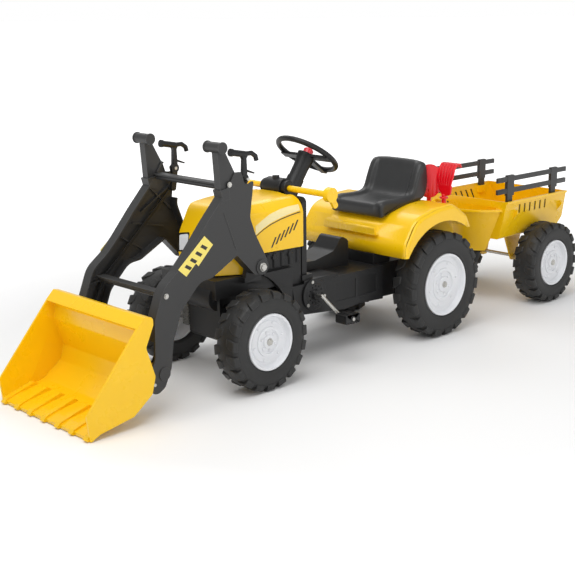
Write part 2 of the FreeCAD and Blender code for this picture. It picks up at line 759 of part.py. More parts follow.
def liftGrip():
    """A triangular lever with a round cross grip, clamped to the arm by a square collar."""
    middle = 0.5 * (boomInnerY + boomOuterY)
    plate = side([(729, 470, 3), (736, 560, 3), (722, 572, 8), (712, 556, 4), (688, 513, 3), (708,
        474, 3)], middle - 10, middle + 10)
    grip = cylY(732, 571, 12, middle - 30, middle + 24)
    rings = [cylY(732, 571, 13.5, middle + a, middle + a + 3) for a in (-30, 21)]
    collar = side([(706, 454), (726, 452), (733, 476), (708, 480)], boomInnerY + 0.3, boomOuterY)
    return joined([plate, grip, collar] + rings)


def boomFasteners():
    """The bolts of the cross bars and the pivot pins of the tilt handles."""
    bolts = []
    for x, z in boomBoltPlaces:
        bolts.append(hexBolt(x, z, boomOuterY, 3, wall, 1))
    bolts.append(cylY(handlePivotX, handlePivotZ, 4, boomInnerY + 1, boomOuterY - wall))
    return bolts + [mirrored(b) for b in bolts]


def tiltHandle(s):
    """The hooked hand lever that tips the bucket, with a lower arm inside the channel for the pull rod."""
    y = rodY
    x = handlePivotX
    z = handlePivotZ
    arm = side([(x - 8, z), (rodTopX - 7, rodTopZ), (rodTopX + 7, rodTopZ), (x + 8, z)], y - 4, y + 4)
    eye = cylY(x, z, 11, y - 5, y + 5)
    toe = cylY(rodTopX, rodTopZ, 7, y - 4, y + 4)
    stem = side([(x - 7, z + 4), (x - 5, z + 46), (x - 14, z + 58), (x + 10, z + 58), (x + 4, z + 44),
        (x + 6, z + 4)], y - 5, y + 5)
    grip = rod((x - 4, y, z + 55), (x + 34, y, z + 62), 7.5)
    cap = rod((x + 34, y, z + 62), (x + 40, y, z + 63), 9)
    hook = bar([(x - 2, y, z + 56), (x - 24, y, z + 56), (x - 36, y, z + 48), (x - 39, y, z + 38)], 5.5)
    fin = side([(x - 3, z + 16), (x - 30, z + 8), (x - 31, z + 11), (x - 3, z + 22)], y - 2.5, y + 2.5)
    lever = joined([arm, eye, toe, stem, grip, cap, hook, fin])
    lever = lever.cut(cylY(x, z, 4 + runningGap, 90, 160))
    lever = lever.cut(cylY(rodTopX, rodTopZ, 3 + runningGap, 90, 160))
    return lever if s > 0 else mirrored(lever)


def pullRod(s):
    """The flat steel link inside the arm, bent at a knee; its lower eye is open round the link pin."""
    y0 = rodY + 4.4
    y1 = y0 + 4
    top = Vector(rodTopX, 0, rodTopZ)
    knee = Vector(rodKneeX, 0, rodKneeZ)
    end = Vector(rodEndX, 0, rodEndZ)
    straps = []
    for a, b in ((top, knee), (knee, end)):
        way = b - a
        strap = box(0, way.Length, y0, y1, -4, 4)
        strap.rotate(Vector(0, 0, 0), Vector(0, 1, 0), -math.degrees(math.atan2(way.z, way.x)))
        strap.translate(a)
        straps.append(strap)
    rounds = [cylY(rodTopX, rodTopZ, 8, y0, y1), cylY(rodKneeX, rodKneeZ, 4, y0, y1), cylY(rodEndX,
        rodEndZ, 12.5, y0, y1)]
    link = joined(straps + rounds).cut(cylY(rodEndX, rodEndZ, 9, 90, 160))
    pin = cylY(rodTopX, rodTopZ, 3, rodY - 4.8, y0 + 1)
    link = joined([link, pin])
    return link if s > 0 else mirrored(link)


bucketLine = [
    (1124, 0, 2), (1131, 58, 6), (992, 222, 6), (974, 240, 5), (953, 236, 10), (953, 218, 8), (974,
        172, 10), (952, 104, 14),
    (962, 66, 10), (1012, 28, 16), (1100, 12),
]
cavityLine = [
    (1140, 4), (1100, 17), (1018, 34, 20), (970, 70, 12), (958, 104, 12), (980, 172, 8), (976, 206,
        6), (1002, 222), (1160, 60),
]


def bucket():
    """A wide scoop: side plates, floor, stepped back, rolled top rim, teeth, and ears for its pins."""
    solid = side(bucketLine, -bucketHalfY, bucketHalfY)
    cavity = side(cavityLine, bucketWall - bucketHalfY, bucketHalfY - bucketWall)
    scoop = solid.cut(cavity)
    teeth = []
    count = 7
    pitch = 2 * (bucketHalfY - 12) / (count - 1)
    ribLine = [(1126, 1, 1), (1133, 4, 2), (1124, 14, 3), (1050, 36, 4), (1040, 30), (1100, 14)]
    for i in range(count):
        y = -bucketHalfY + 12 + i * pitch
        teeth.append(side(ribLine, y - 7, y + 7))
    eye = cylY(bucketPivotX, bucketPivotZ, 13, bucketEarY, boomInnerY - 0.6)
    ear = joined([eye, side([(964, 64), (957, 96), (926, 83), (932, 59)], bucketEarY, boomInnerY - 0.6)])
    lug = side([(961, 124), (955, 104), (944, 101), (920, 103, 8), (920, 121, 8), (944, 125)],
        rodY - 5, rodY + 3)
    linkPin = cylY(rodEndX, rodEndZ, 3, rodY - 5, rodY + 12)
    whole = joined([scoop] + teeth + both(ear) + both(lug) + both(linkPin))
    return whole.cut(cylY(bucketPivotX, bucketPivotZ, 4, -190, 190))


def bucketPins():
    """Steel pins fixed in the bucket's ears that turn in the ends of the arms."""
    pin = hexBolt(bucketPivotX, bucketPivotZ, bucketEarY, 4, boomOuterY - bucketEarY - 0.4, -1)
    return both(pin)


def boomPivotBolts():
    return both(hexBolt(boomPivotX, boomPivotZ, boomOuterY + 4, axleR, 45, 1))


# Trailer

def tubSolid(i):
    """The trailer tub's outer form, tapering downwards, or its inside when i is the wall."""
    top = tubTopY - i
    low = tubFloorY - i
    section = [(-low, tubFloorZ + i, 10), (low, tubFloorZ + i, 10), (top, tubTopZ + (5 if i else 0)),
        (-top, tubTopZ + (5 if i else 0))]
    tub = front(section, -668, -300)
    sideLine = [(-350 - i, tubFloorZ - 5), (-345 - i, tubTopZ + 10), (-648 + i, tubTopZ + 10),
        (-664 + i, tubFloorZ + 30, 10), (-640 + i, tubFloorZ - 5)]
    tub = tub.common(side(sideLine, -160, 160))
    rise = tubTopZ - 24 - tubFloorZ + 40
    bow = Part.makeCone(bowLowR - i, bowTopR - i, rise, Vector(bowX, 0, tubFloorZ - 40 + i), Vector(0,
        0, 1))
    bow = bow.cut(box(-600, bowBackX - 2 * i, -160, 160, 100, 400))
    return tub, bow.cut(box(-600, bowBackX + i, -160, 160, 100, tubFloorZ + i))


def trailerTub():
    """The yellow tub with a rounded bow, a flanged rim, slots in its sides and legs for the axle."""
    tub, bow = tubSolid(0)
    tubIn, bowIn = tubSolid(wall)
    rims = []
    for s in (1, -1):
        low, high = sorted((s * (tubTopY - 8), s * (tubTopY + 3)))
        rims.append(box(-650, -346, low, high, tubTopZ - 6, tubTopZ))
    bowRimZ = tubTopZ - 24
    bowRim = cylZ(bowX, 0, bowTopR + 4, bowRimZ - 6, bowRimZ).cut(box(-600, bowBackX - 4, -160, 160,
        100, 400))
    legs = []
    legLine = [
        (trailerAxleX - 12, smallTyreR - 12, 8), (trailerAxleX + 12, smallTyreR - 12, 8),
        (trailerAxleX + 56, tubFloorZ + 2), (trailerAxleX - 34, tubFloorZ + 2),
    ]
    for y in (52, -58):
        legs.append(side(legLine, y, y + 6))
    gussets = []
    for x in (-400, -628):
        gusset = front([(tubFloorY - 4, 232), (tubTopY + 1, tubTopZ - 40), (tubTopY + 1,
            tubTopZ - 34), (tubFloorY - 4, 300)], x - 3, x + 3)
        gussets += both(gusset)
    whole = joined([tub, bow, bowRim] + rims + legs + gussets)
    whole = whole.cut(tubIn).cut(bowIn)
    whole = whole.cut(cylY(trailerAxleX, smallTyreR, axleR, -120, 120))
    for i in range(6):
        x = -424 - 26 * i
        slot = side([(x - 3, 272), (x + 5, 272), (x + 13, 300), (x + 5, 300)], 110, 160)
        whole = whole.cut(slot).cut(mirrored(slot))
    # sockets inside the walls for the fence posts
    for x in (-372, -592):
        socket = box(x - 16, x + 16, fenceY - 9, fenceY + 7, fenceFootZ - 6, tubTopZ - 6)
        whole = joined([whole] + both(socket))
        post = box(x - 12.5, x + 12.5, fenceY - 4.5, fenceY + 4.5, fenceFootZ - 0.3, 330)
        whole = whole.cut(post).cut(mirrored(post))
    return whole


def fence():
    """A side rail: two posts that stand in the tub's wall and two long rails."""
    posts = []
    for x in (-372, -592):
        posts.append(box(x - 12, x + 12, fenceY - 4, fenceY + 4, fenceFootZ, 352))
        posts.append(box(x - 16, x + 16, fenceY - 4, fenceY + 6, 330, 390))
    rails = [box(-656, -310, fenceY - 2, fenceY + 5, z, z + 14) for z in (338, 372)]
    return joined(posts + rails)


def drawbar():
    """The black towing arm under the tub, with a ring over the hitch pin."""
    ring = cylZ(hitchX, 0, 16, hitchZ, hitchZ + 8)
    arm = plan([(hitchX, -10), (hitchX, 10), (-300, 24), (-400, 30), (-400, -30), (-300, -24)],
        hitchZ, hitchZ + 8)
    rise = box(-400, -330, -22, 22, hitchZ + 6, tubFloorZ - 40.2)
    bar_ = joined([ring, arm, rise])
    return bar_.cut(cylZ(hitchX, 0, 5 + runningGap, 100, 300))


def hitchBracket():
    """The fork behind the seat that the drawbar hooks into."""
    low = box(hitchX - 14, -60, -18, 18, hitchZ - 7, hitchZ - 1)
    high = box(hitchX - 14, -60, -18, 18, hitchZ + 9, hitchZ + 15)
    spine = box(-80, -70.2, -18, 18, hitchZ - 7, hitchZ + 15)
    fork = joined([low, high, spine]).cut(box(-70.2, -50, -30, 30, 100, 200))
    return fork.cut(cylZ(hitchX, 0, 5, 100, 300))


def hitchPin():
    """A drop pin with a flat head and a finger ring."""
    pin = cylZ(hitchX, 0, 5 - runningGap, hitchZ - 16, hitchZ + 18)
    head = cylZ(hitchX, 0, 10, hitchZ + 15.4, hitchZ + 20)
    loop = Part.makeTorus(10, 2, Vector(hitchX, 0, hitchZ + 29), Vector(0, 1, 0))
    return joined([pin, head, loop])


def trailerAxle():
    return cylY(trailerAxleX, smallTyreR, axleR, 4 - tyreOuterY, tyreOuterY - 4)


def rearAxle():
    return cylY(0, rearTyreR, axleR, 4 - tyreOuterY, tyreOuterY - 4)


def toolHandle(x, y, low, high):
    grip = cylZ(x, y, 8, low, low + 26)
    return [cylZ(x, y, 6.5, low, high), grip, cylZ(x, y, 12, toolRestZ + 0.4, toolRestZ + 5)]


def shovel():
    """A small red shovel standing head up: a dished blade with rolled sides."""
    x, y = toolPlaces[0]
    blade = front([(y - 32, 372, 10), (y - 14, 356, 8), (y + 14, 356, 8), (y + 32, 372, 10), (y + 34,
        430, 24), (y, 452, 30), (y - 34, 430, 24)], x - 26, x + 20)
    bowl = cylZ(x - 54, y, 66, 340, 460).cut(cylZ(x - 54, y, 62.5, 330, 470))
    blade = blade.common(bowl)
    blade.rotate(Vector(x, y, 0), Vector(0, 0, 1), 45)
    neck = rod((x, y, 340), (x + 6, y + 6, 378), 6)
    return joined([blade, neck] + toolHandle(x, y, 186, 362))


def rake():
    """A small red rake standing head up: a bar with six curved tines."""
    x, y = toolPlaces[1]
    spine = rod((x, y - 15, 408), (x, y + 36, 408), 5)
    tines = []
    for i in range(6):
        ty = y - 13 + 9.6 * i
        tines.append(bar([(x, ty, 408), (x - 8, ty, 438), (x - 26, ty, 450), (x - 40, ty, 436)], 3.2))
    braces = [rod((x, y, 366), (x, y + k, 408), 4.5) for k in (-10, 28)]
    return joined([spine] + tines + braces + toolHandle(x, y, 206, 410))


def writeAll():
    os.makedirs("parts", exist_ok=True)
    # chassis
    save("lower_chassis", lowerChassis())
    save("front_beam", frontBeam())
    save("firewall", firewall())
    save("hood", hood())
    save("headlight_frames", headlightFrames())
    save("headlight_lenses", headlightLenses())
    save("engine_panels", both(enginePanel()))
    save("rear_body", rearBody())
    save("seat", seat())
    save("cowl_drum", cowlDrum())
    save("crank_covers", both(crankCover()))
    save("crank_cover_bolts", crankCoverBolts())
    save("rear_axle_bushes", both(rearBush()))
    save("drive_chain", driveChain())
    save("hitch_bracket", hitchBracket())
    save("boom_pivot_bolts", boomPivotBolts())
    # controls and steering
    save("control_bar", controlBar())
    save("steering_shaft", steeringShaft())
    save("steering_wheel", steeringWheel())
    save("horn_button", hornButton())
    save("tie_rod", tieRod())
    # pedal drive
    save("crank_rod", crankRod())
    save("front_sprocket", sprocket(crankX, crankZ, frontSprocketR, crankR, 20))
    save("rear_sprocket", sprocket(0, rearTyreR, rearSprocketR, axleR, 13))
    save("rear_axle", rearAxle())
    # pieces with a left and a right
    for name, s in (("left", 1), ("right", -1)):
        save("pedal_" + name, pedal(s))
        save("knuckle_" + name, knuckle(s))
        save("front_rim_" + name, rim(frontAxleX, smallTyreR, smallRimR, s, axleR + runningGap))
        save("front_tyre_" + name, tyre(frontAxleX, smallTyreR, smallTyreR, smallRimR, s))
        save("trailer_rim_" + name, rim(trailerAxleX, smallTyreR, smallRimR, s, axleR + runningGap))
        save("trailer_tyre_" + name, tyre(trailerAxleX, smallTyreR, smallTyreR, smallRimR, s))
        arm = boom()
        save("boom_" + name, arm if s > 0 else mirrored(arm))
        save("tilt_handle_" + name, tiltHandle(s))
        save("pull_rod_" + name, pullRod(s))
        save("fence_" + name, fence() if s > 0 else mirrored(fence()))
    save("rear_rims", both(rim(0, rearTyreR, rearRimR, 1, axleR)))
    save("rear_tyres", both(tyre(0, rearTyreR, rearTyreR, rearRimR, 1)))
    save("axle_nuts", both(hubNut(0, rearTyreR)))
    save("trailer_axle_nuts", both(hubNut(trailerAxleX, smallTyreR)))
    # loader
    save("crossbars", [crossbar(880, 258, 6), crossbar(702, 478, 7)])
    save("lift_grips", both(liftGrip()))
    save("boom_fasteners", boomFasteners())
    save("bucket", bucket())
    save("bucket_pins", bucketPins())
    # trailer and tools
    save("trailer_tub", trailerTub())
    save("drawbar", drawbar())
    save("trailer_axle", trailerAxle())
    save("hitch_pin", hitchPin())
    save("shovel", shovel())
    save("rake", rake())


writeAll()
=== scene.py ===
import bpy
import bmesh
import json
import math
from mathutils import Matrix, Vector
from mathutils.bvhtree import BVHTree


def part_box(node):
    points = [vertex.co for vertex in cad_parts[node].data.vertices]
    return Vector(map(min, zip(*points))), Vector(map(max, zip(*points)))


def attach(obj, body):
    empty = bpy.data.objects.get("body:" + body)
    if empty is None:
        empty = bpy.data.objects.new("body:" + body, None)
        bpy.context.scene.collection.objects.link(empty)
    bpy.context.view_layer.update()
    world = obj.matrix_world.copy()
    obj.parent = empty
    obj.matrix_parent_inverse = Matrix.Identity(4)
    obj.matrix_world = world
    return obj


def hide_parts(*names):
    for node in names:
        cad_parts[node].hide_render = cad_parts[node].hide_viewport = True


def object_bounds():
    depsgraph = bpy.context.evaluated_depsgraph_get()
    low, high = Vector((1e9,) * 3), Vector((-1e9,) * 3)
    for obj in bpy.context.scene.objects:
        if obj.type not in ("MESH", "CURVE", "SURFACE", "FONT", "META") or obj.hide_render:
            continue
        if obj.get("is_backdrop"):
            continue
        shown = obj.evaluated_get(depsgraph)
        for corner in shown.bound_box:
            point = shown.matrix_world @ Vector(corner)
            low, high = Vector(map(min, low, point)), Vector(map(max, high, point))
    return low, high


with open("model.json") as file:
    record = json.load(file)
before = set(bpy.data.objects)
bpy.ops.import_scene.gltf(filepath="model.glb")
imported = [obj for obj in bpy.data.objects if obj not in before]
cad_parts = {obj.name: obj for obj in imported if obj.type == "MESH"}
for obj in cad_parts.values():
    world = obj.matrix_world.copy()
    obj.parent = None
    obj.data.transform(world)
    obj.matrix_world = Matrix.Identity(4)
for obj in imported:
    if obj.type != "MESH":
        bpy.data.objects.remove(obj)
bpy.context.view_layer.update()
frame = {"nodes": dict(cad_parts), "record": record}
mm = 0.001
nodeBody = {node: body for body, nodes in frame["record"]["behaviour"]["bodies"].items()
    for node in nodes}
print("frame loaded:", len(nodeBody), "nodes")



def smoothShade(mesh, angle):
    for poly in mesh.polygons:
        poly.use_smooth = True
    mesh.set_sharp_from_angle(angle=math.radians(angle))


def addBevel(obj, width, segments=2, angle=32):
    bevel = obj.modifiers.new("roundedEdges", "BEVEL")
    bevel.width = width
    bevel.segments = segments
    bevel.limit_method = "ANGLE"
    bevel.angle_limit = math.radians(angle)
    bevel.use_clamp_overlap = True
    bevel.harden_normals = False
    return bevel


def newPiece(name, bm, body, material, angle=34, bevel=0.0, segments=2, replaced=()):
    bmesh.ops.recalc_face_normals(bm, faces=bm.faces)
    mesh = bpy.data.meshes.new(name)
    bm.to_mesh(mesh)
    bm.free()
    obj = bpy.data.objects.new(name, mesh)
    bpy.context.scene.collection.objects.link(obj)
    smoothShade(mesh, angle)
    if bevel:
        addBevel(obj, bevel, segments)
    mesh.materials.append(material)
    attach(obj, body)
    if replaced:
        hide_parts(*replaced)
    return obj


def fromNode(node, material, bevel=0.0, segments=2, angle=34, flatten=True):
    source = frame["nodes"][node]
    bm = bmesh.new()
    bm.from_mesh(source.data)
    bmesh.ops.remove_doubles(bm, verts=bm.verts, dist=2e-6)
    bmesh.ops.dissolve_degenerate(bm, edges=bm.edges, dist=2e-6)
    if flatten:
        bmesh.ops.dissolve_limit(bm, angle_limit=math.radians(0.6), verts=bm.verts, edges=bm.edges)
    return newPiece(node + "_finish", bm, nodeBody[node], material, angle, bevel,
        segments, [node])


def prismFrom(points, place, depth):
    bm = bmesh.new()
    low = [bm.verts.new(place(p, 0.0)) for p in points]
    high = [bm.verts.new(place(p, depth)) for p in points]
    bm.faces.new(low[::-1])
    bm.faces.new(high)
    count = len(points)
    for i in range(count):
        j = (i + 1) % count
        bm.faces.new((low[i], low[j], high[j], high[i]))
    return bm


def appendTo(target, extra):  # adds one mesh under construction to another
    mesh = bpy.data.meshes.new("part")
    extra.to_mesh(mesh)
    extra.free()
    target.from_mesh(mesh)
    bpy.data.meshes.remove(mesh)
    return target


def turned(profile, centre, side, segments=96):
    bm = bmesh.new()
    rings = []
    for radius, depth in profile:
        ring = []
        for i in range(segments):
            a = 2 * math.pi * i / segments
            ring.append(bm.verts.new((
                centre.x + radius * math.cos(a), centre.y - side * depth,
                centre.z + radius * math.sin(a))))
        rings.append(ring)
    for a, b in zip(rings, rings[1:]):
        for i in range(segments):
            j = (i + 1) % segments
            bm.faces.new((a[i], a[j], b[j], b[i]))
    return bm, rings



def makeGroup(name, inputs, outputs):
    tree = bpy.data.node_groups.new(name, "ShaderNodeTree")
    for label, value in inputs:
        socket = tree.interface.new_socket(name=label, in_out="INPUT",
            socket_type="NodeSocketFloat")
        socket.default_value = value
    for label in outputs:
        tree.interface.new_socket(name=label, in_out="OUTPUT", socket_type="NodeSocketFloat")
    return tree, tree.nodes.new("NodeGroupInput"), tree.nodes.new("NodeGroupOutput")


def addNode(tree, kind, settings=None, **sockets):
    node = tree.nodes.new(kind)
    for key, value in (settings or {}).items():
        setattr(node, key, value)
    for key, value in sockets.items():
        node.inputs[key.replace("_", " ")].default_value = value
    return node


def mathNode(tree, operation, first, second, clamp=False):
    node = tree.nodes.new("ShaderNodeMath")
    node.operation = operation
    node.use_clamp = clamp
    for socket, value in zip(node.inputs, (first, second)):
        if isinstance(value, (int, float)):
            socket.default_value = value
        else:
            tree.links.new(value, socket)
    return node.outputs[0]


def rangeNode(tree, value, fromMin, fromMax, toMin, toMax):
    node = tree.nodes.new("ShaderNodeMapRange")
    node.clamp = True
    tree.links.new(value, node.inputs["Value"])
    for key, number in (("From Min", fromMin), ("From Max", fromMax), ("To Min", toMin),
        ("To Max", toMax)):
        if isinstance(number, (int, float)):
            node.inputs[key].default_value = number
        else:
            tree.links.new(number, node.inputs[key])
    return node.outputs["Result"]


def noiseNode(tree, vector, scale, detail=3.0, rough=0.5):
    node = tree.nodes.new("ShaderNodeTexNoise")
    tree.links.new(vector, node.inputs["Vector"])
    if isinstance(scale, (int, float)):
        node.inputs["Scale"].default_value = scale
    else:
        tree.links.new(scale, node.inputs["Scale"])
    node.inputs["Detail"].default_value = detail
    node.inputs["Roughness"].default_value = rough
    return node.outputs["Fac"]


def buildMouldedGrain():  # slow waviness of a moulded wall with the fine texture of its tool
    tree, enter, leave = makeGroup(
        "mouldedGrain", (("Grain Scale", 900.0), ("Wave Scale", 28.0), ("Grain Share", 0.5)),
        ("Height", "Mottle"))
    place = tree.nodes.new("ShaderNodeTexCoord").outputs["Object"]
    grain = noiseNode(tree, place, enter.outputs["Grain Scale"], 2.0, 0.6)
    wave = noiseNode(tree, place, enter.outputs["Wave Scale"], 2.0, 0.45)
    share = mathNode(tree, "MULTIPLY", grain, enter.outputs["Grain Share"])
    rest = mathNode(tree, "SUBTRACT", 1.0, enter.outputs["Grain Share"])
    tree.links.new(mathNode(tree, "ADD", share, mathNode(tree, "MULTIPLY", wave, rest)),
        leave.inputs["Height"])
    mottle = noiseNode(tree, place, 9.0, 5.0, 0.6)
    tree.links.new(rangeNode(tree, mottle, 0.3, 0.7, 0.0, 1.0), leave.inputs["Mottle"])
    return tree


def buildEdgeHighlight():  # painted highlight: brightness along rounded edges, broken into patches by noise
    tree, enter, leave = makeGroup("paintedEdgeHighlight", (("Edge Width", 0.0015), ("Breakup", 0.6)),
        ("Mask",))
    soft = tree.nodes.new("ShaderNodeBevel")
    soft.samples = 4
    tree.links.new(enter.outputs["Edge Width"], soft.inputs["Radius"])
    geometry = tree.nodes.new("ShaderNodeNewGeometry")
    dot = tree.nodes.new("ShaderNodeVectorMath")
    dot.operation = "DOT_PRODUCT"
    tree.links.new(soft.outputs["Normal"], dot.inputs[0])
    tree.links.new(geometry.outputs["Normal"], dot.inputs[1])
    away = mathNode(tree, "SUBTRACT", 1.0, dot.outputs["Value"])
    edge = rangeNode(tree, away, 0.01, 0.16, 0.0, 1.0)
    place = tree.nodes.new("ShaderNodeTexCoord").outputs["Object"]
    highlightPatches = noiseNode(tree, place, 140.0, 4.0, 0.65)
    broken = rangeNode(tree, highlightPatches, 0.35, 0.65,
        mathNode(tree, "SUBTRACT", 1.0, enter.outputs["Breakup"]), 1.0)
    tree.links.new(mathNode(tree, "MULTIPLY", edge, broken), leave.inputs["Mask"])
    return tree


def buildDustFilm():  # thin dust where surfaces face up
    tree, enter, leave = makeGroup("dustFilm", (("Amount", 0.2), ("Patch Scale", 30.0)), ("Mask",))
    geometry = tree.nodes.new("ShaderNodeNewGeometry")
    split = tree.nodes.new("ShaderNodeSeparateXYZ")
    tree.links.new(geometry.outputs["Normal"], split.inputs[0])
    up = rangeNode(tree, split.outputs["Z"], 0.2, 1.0, 0.0, 1.0)
    place = tree.nodes.new("ShaderNodeTexCoord").outputs["Object"]
    patch = noiseNode(tree, place, enter.outputs["Patch Scale"], 4.0, 0.6)
    spread = rangeNode(tree, patch, 0.3, 0.75, 0.25, 1.0)
    both = mathNode(tree, "MULTIPLY", up, spread)
    tree.links.new(mathNode(tree, "MULTIPLY", both, enter.outputs["Amount"]), leave.inputs["Mask"])
    return tree


def buildBrushed():  # fine lines of drawn or turned steel, along the across-the-car direction
    tree, enter, leave = makeGroup("brushedLines", (("Line Scale", 700.0),), ("Height", "Streak"))
    place = tree.nodes.new("ShaderNodeTexCoord").outputs["Object"]
    stretch = tree.nodes.new("ShaderNodeMapping")
    stretch.inputs["Scale"].default_value = (1.0, 0.06, 1.0)
    tree.links.new(place, stretch.inputs["Vector"])
    line = noiseNode(tree, stretch.outputs[0], enter.outputs["Line Scale"], 3.0, 0.6)
    tree.links.new(line, leave.inputs["Height"])
    tree.links.new(rangeNode(tree, line, 0.35, 0.65, 0.0, 1.0), leave.inputs["Streak"])
    return tree


groups = {"grain": buildMouldedGrain(), "edgeHighlight": buildEdgeHighlight(), "dust": buildDustFilm(),
    "brushed": buildBrushed()}


def placeGroup(tree, key, **values):
    node = tree.nodes.new("ShaderNodeGroup")
    node.node_tree = groups[key]
    for label, value in values.items():
        node.inputs[label.replace("_", " ")].default_value = value
    return node


def mixColour(tree, factor, first, second):
    node = tree.nodes.new("ShaderNodeMix")
    node.data_type = "RGBA"
    tree.links.new(factor, node.inputs["Factor"])
    for key, value in ((6, first), (7, second)):
        if isinstance(value, tuple):
            node.inputs[key].default_value = (*value, 1.0)
        else:
            tree.links.new(value, node.inputs[key])
    return node.outputs[2]


def plastic(name, look):  # moulded plastic or rubber
    material = bpy.data.materials.new(name)
    material.use_nodes = True
    tree = material.node_tree
    shader = tree.nodes["Principled BSDF"]
    shader.inputs["Specular IOR Level"].default_value = look.get("specular", 0.5)
    shader.inputs["Coat Roughness"].default_value = look.get("coatRough", 0.1)
    shader.inputs["Coat Weight"].default_value = look.get("coat", 0.0)
    if "transmission" in look:
        shader.inputs["Transmission Weight"].default_value = look["transmission"]
    grain = placeGroup(tree, "grain", Grain_Scale=look["grainScale"],
        Wave_Scale=look.get("waveScale", 28.0),
                       Grain_Share=look.get("grainShare", 0.5))
    edgeHighlight = placeGroup(tree, "edgeHighlight", Edge_Width=look.get("edgeWidth", 0.0015),
        Breakup=look.get("breakup", 0.6))
    dust = placeGroup(tree, "dust", Amount=look.get("dust", 0.1),
        Patch_Scale=look.get("patch", 30.0))
    body = mixColour(tree, grain.outputs["Mottle"], look["colour"], look["mottle"])
    # painted highlight: a lighter edge colour is mixed in along rounded edges, in patches
    highlightAmount = mathNode(tree, "MULTIPLY", edgeHighlight.outputs["Mask"], look.get("highlightAmount", 0.5))
    body = mixColour(tree, highlightAmount, body, look["highlightColour"])
    body = mixColour(tree, dust.outputs["Mask"], body, look.get("dustColour", (0.5, 0.48, 0.45)))
    tree.links.new(body, shader.inputs["Base Color"])
    low, high = look["roughness"]
    rough = rangeNode(tree, grain.outputs["Mottle"], 0.0, 1.0, low, high)
    rough = mathNode(tree, "ADD", rough, mathNode(tree, "MULTIPLY", dust.outputs["Mask"], 0.5),
        True)
    tree.links.new(rough, shader.inputs["Roughness"])
    bump = addNode(tree, "ShaderNodeBump", Strength=look.get("bump", 0.2),
        Distance=look.get("depth", 0.0004))
    tree.links.new(grain.outputs["Height"], bump.inputs["Height"])
    tree.links.new(bump.outputs["Normal"], shader.inputs["Normal"])
    return material


def steel(name, look):  # plated or drawn steel with fine lines, dulled in patches
    material = bpy.data.materials.new(name)
    material.use_nodes = True
    tree = material.node_tree
    shader = tree.nodes["Principled BSDF"]
    shader.inputs["Metallic"].default_value = 1.0
    lines = placeGroup(tree, "brushed", Line_Scale=look["lineScale"])
    grain = placeGroup(tree, "grain", Grain_Scale=400.0, Wave_Scale=60.0)
    edgeHighlight = placeGroup(tree, "edgeHighlight", Edge_Width=0.0006, Breakup=0.5)
    body = mixColour(tree, grain.outputs["Mottle"], look["colour"], look["dull"])
    # painted highlight: the bright colour is mixed in along rounded steel edges
    body = mixColour(tree, mathNode(tree, "MULTIPLY", edgeHighlight.outputs["Mask"], 0.5), body,
        look["edgeHighlightColour"])
    tree.links.new(body, shader.inputs["Base Color"])
    low, high = look["roughness"]
    tree.links.new(rangeNode(tree, lines.outputs["Streak"], 0.0, 1.0, low, high),
        shader.inputs["Roughness"])
    bump = addNode(tree, "ShaderNodeBump", Strength=look.get("bump", 0.12), Distance=0.0002)
    tree.links.new(lines.outputs["Height"], bump.inputs["Height"])
    tree.links.new(bump.outputs["Normal"], shader.inputs["Normal"])
    return material
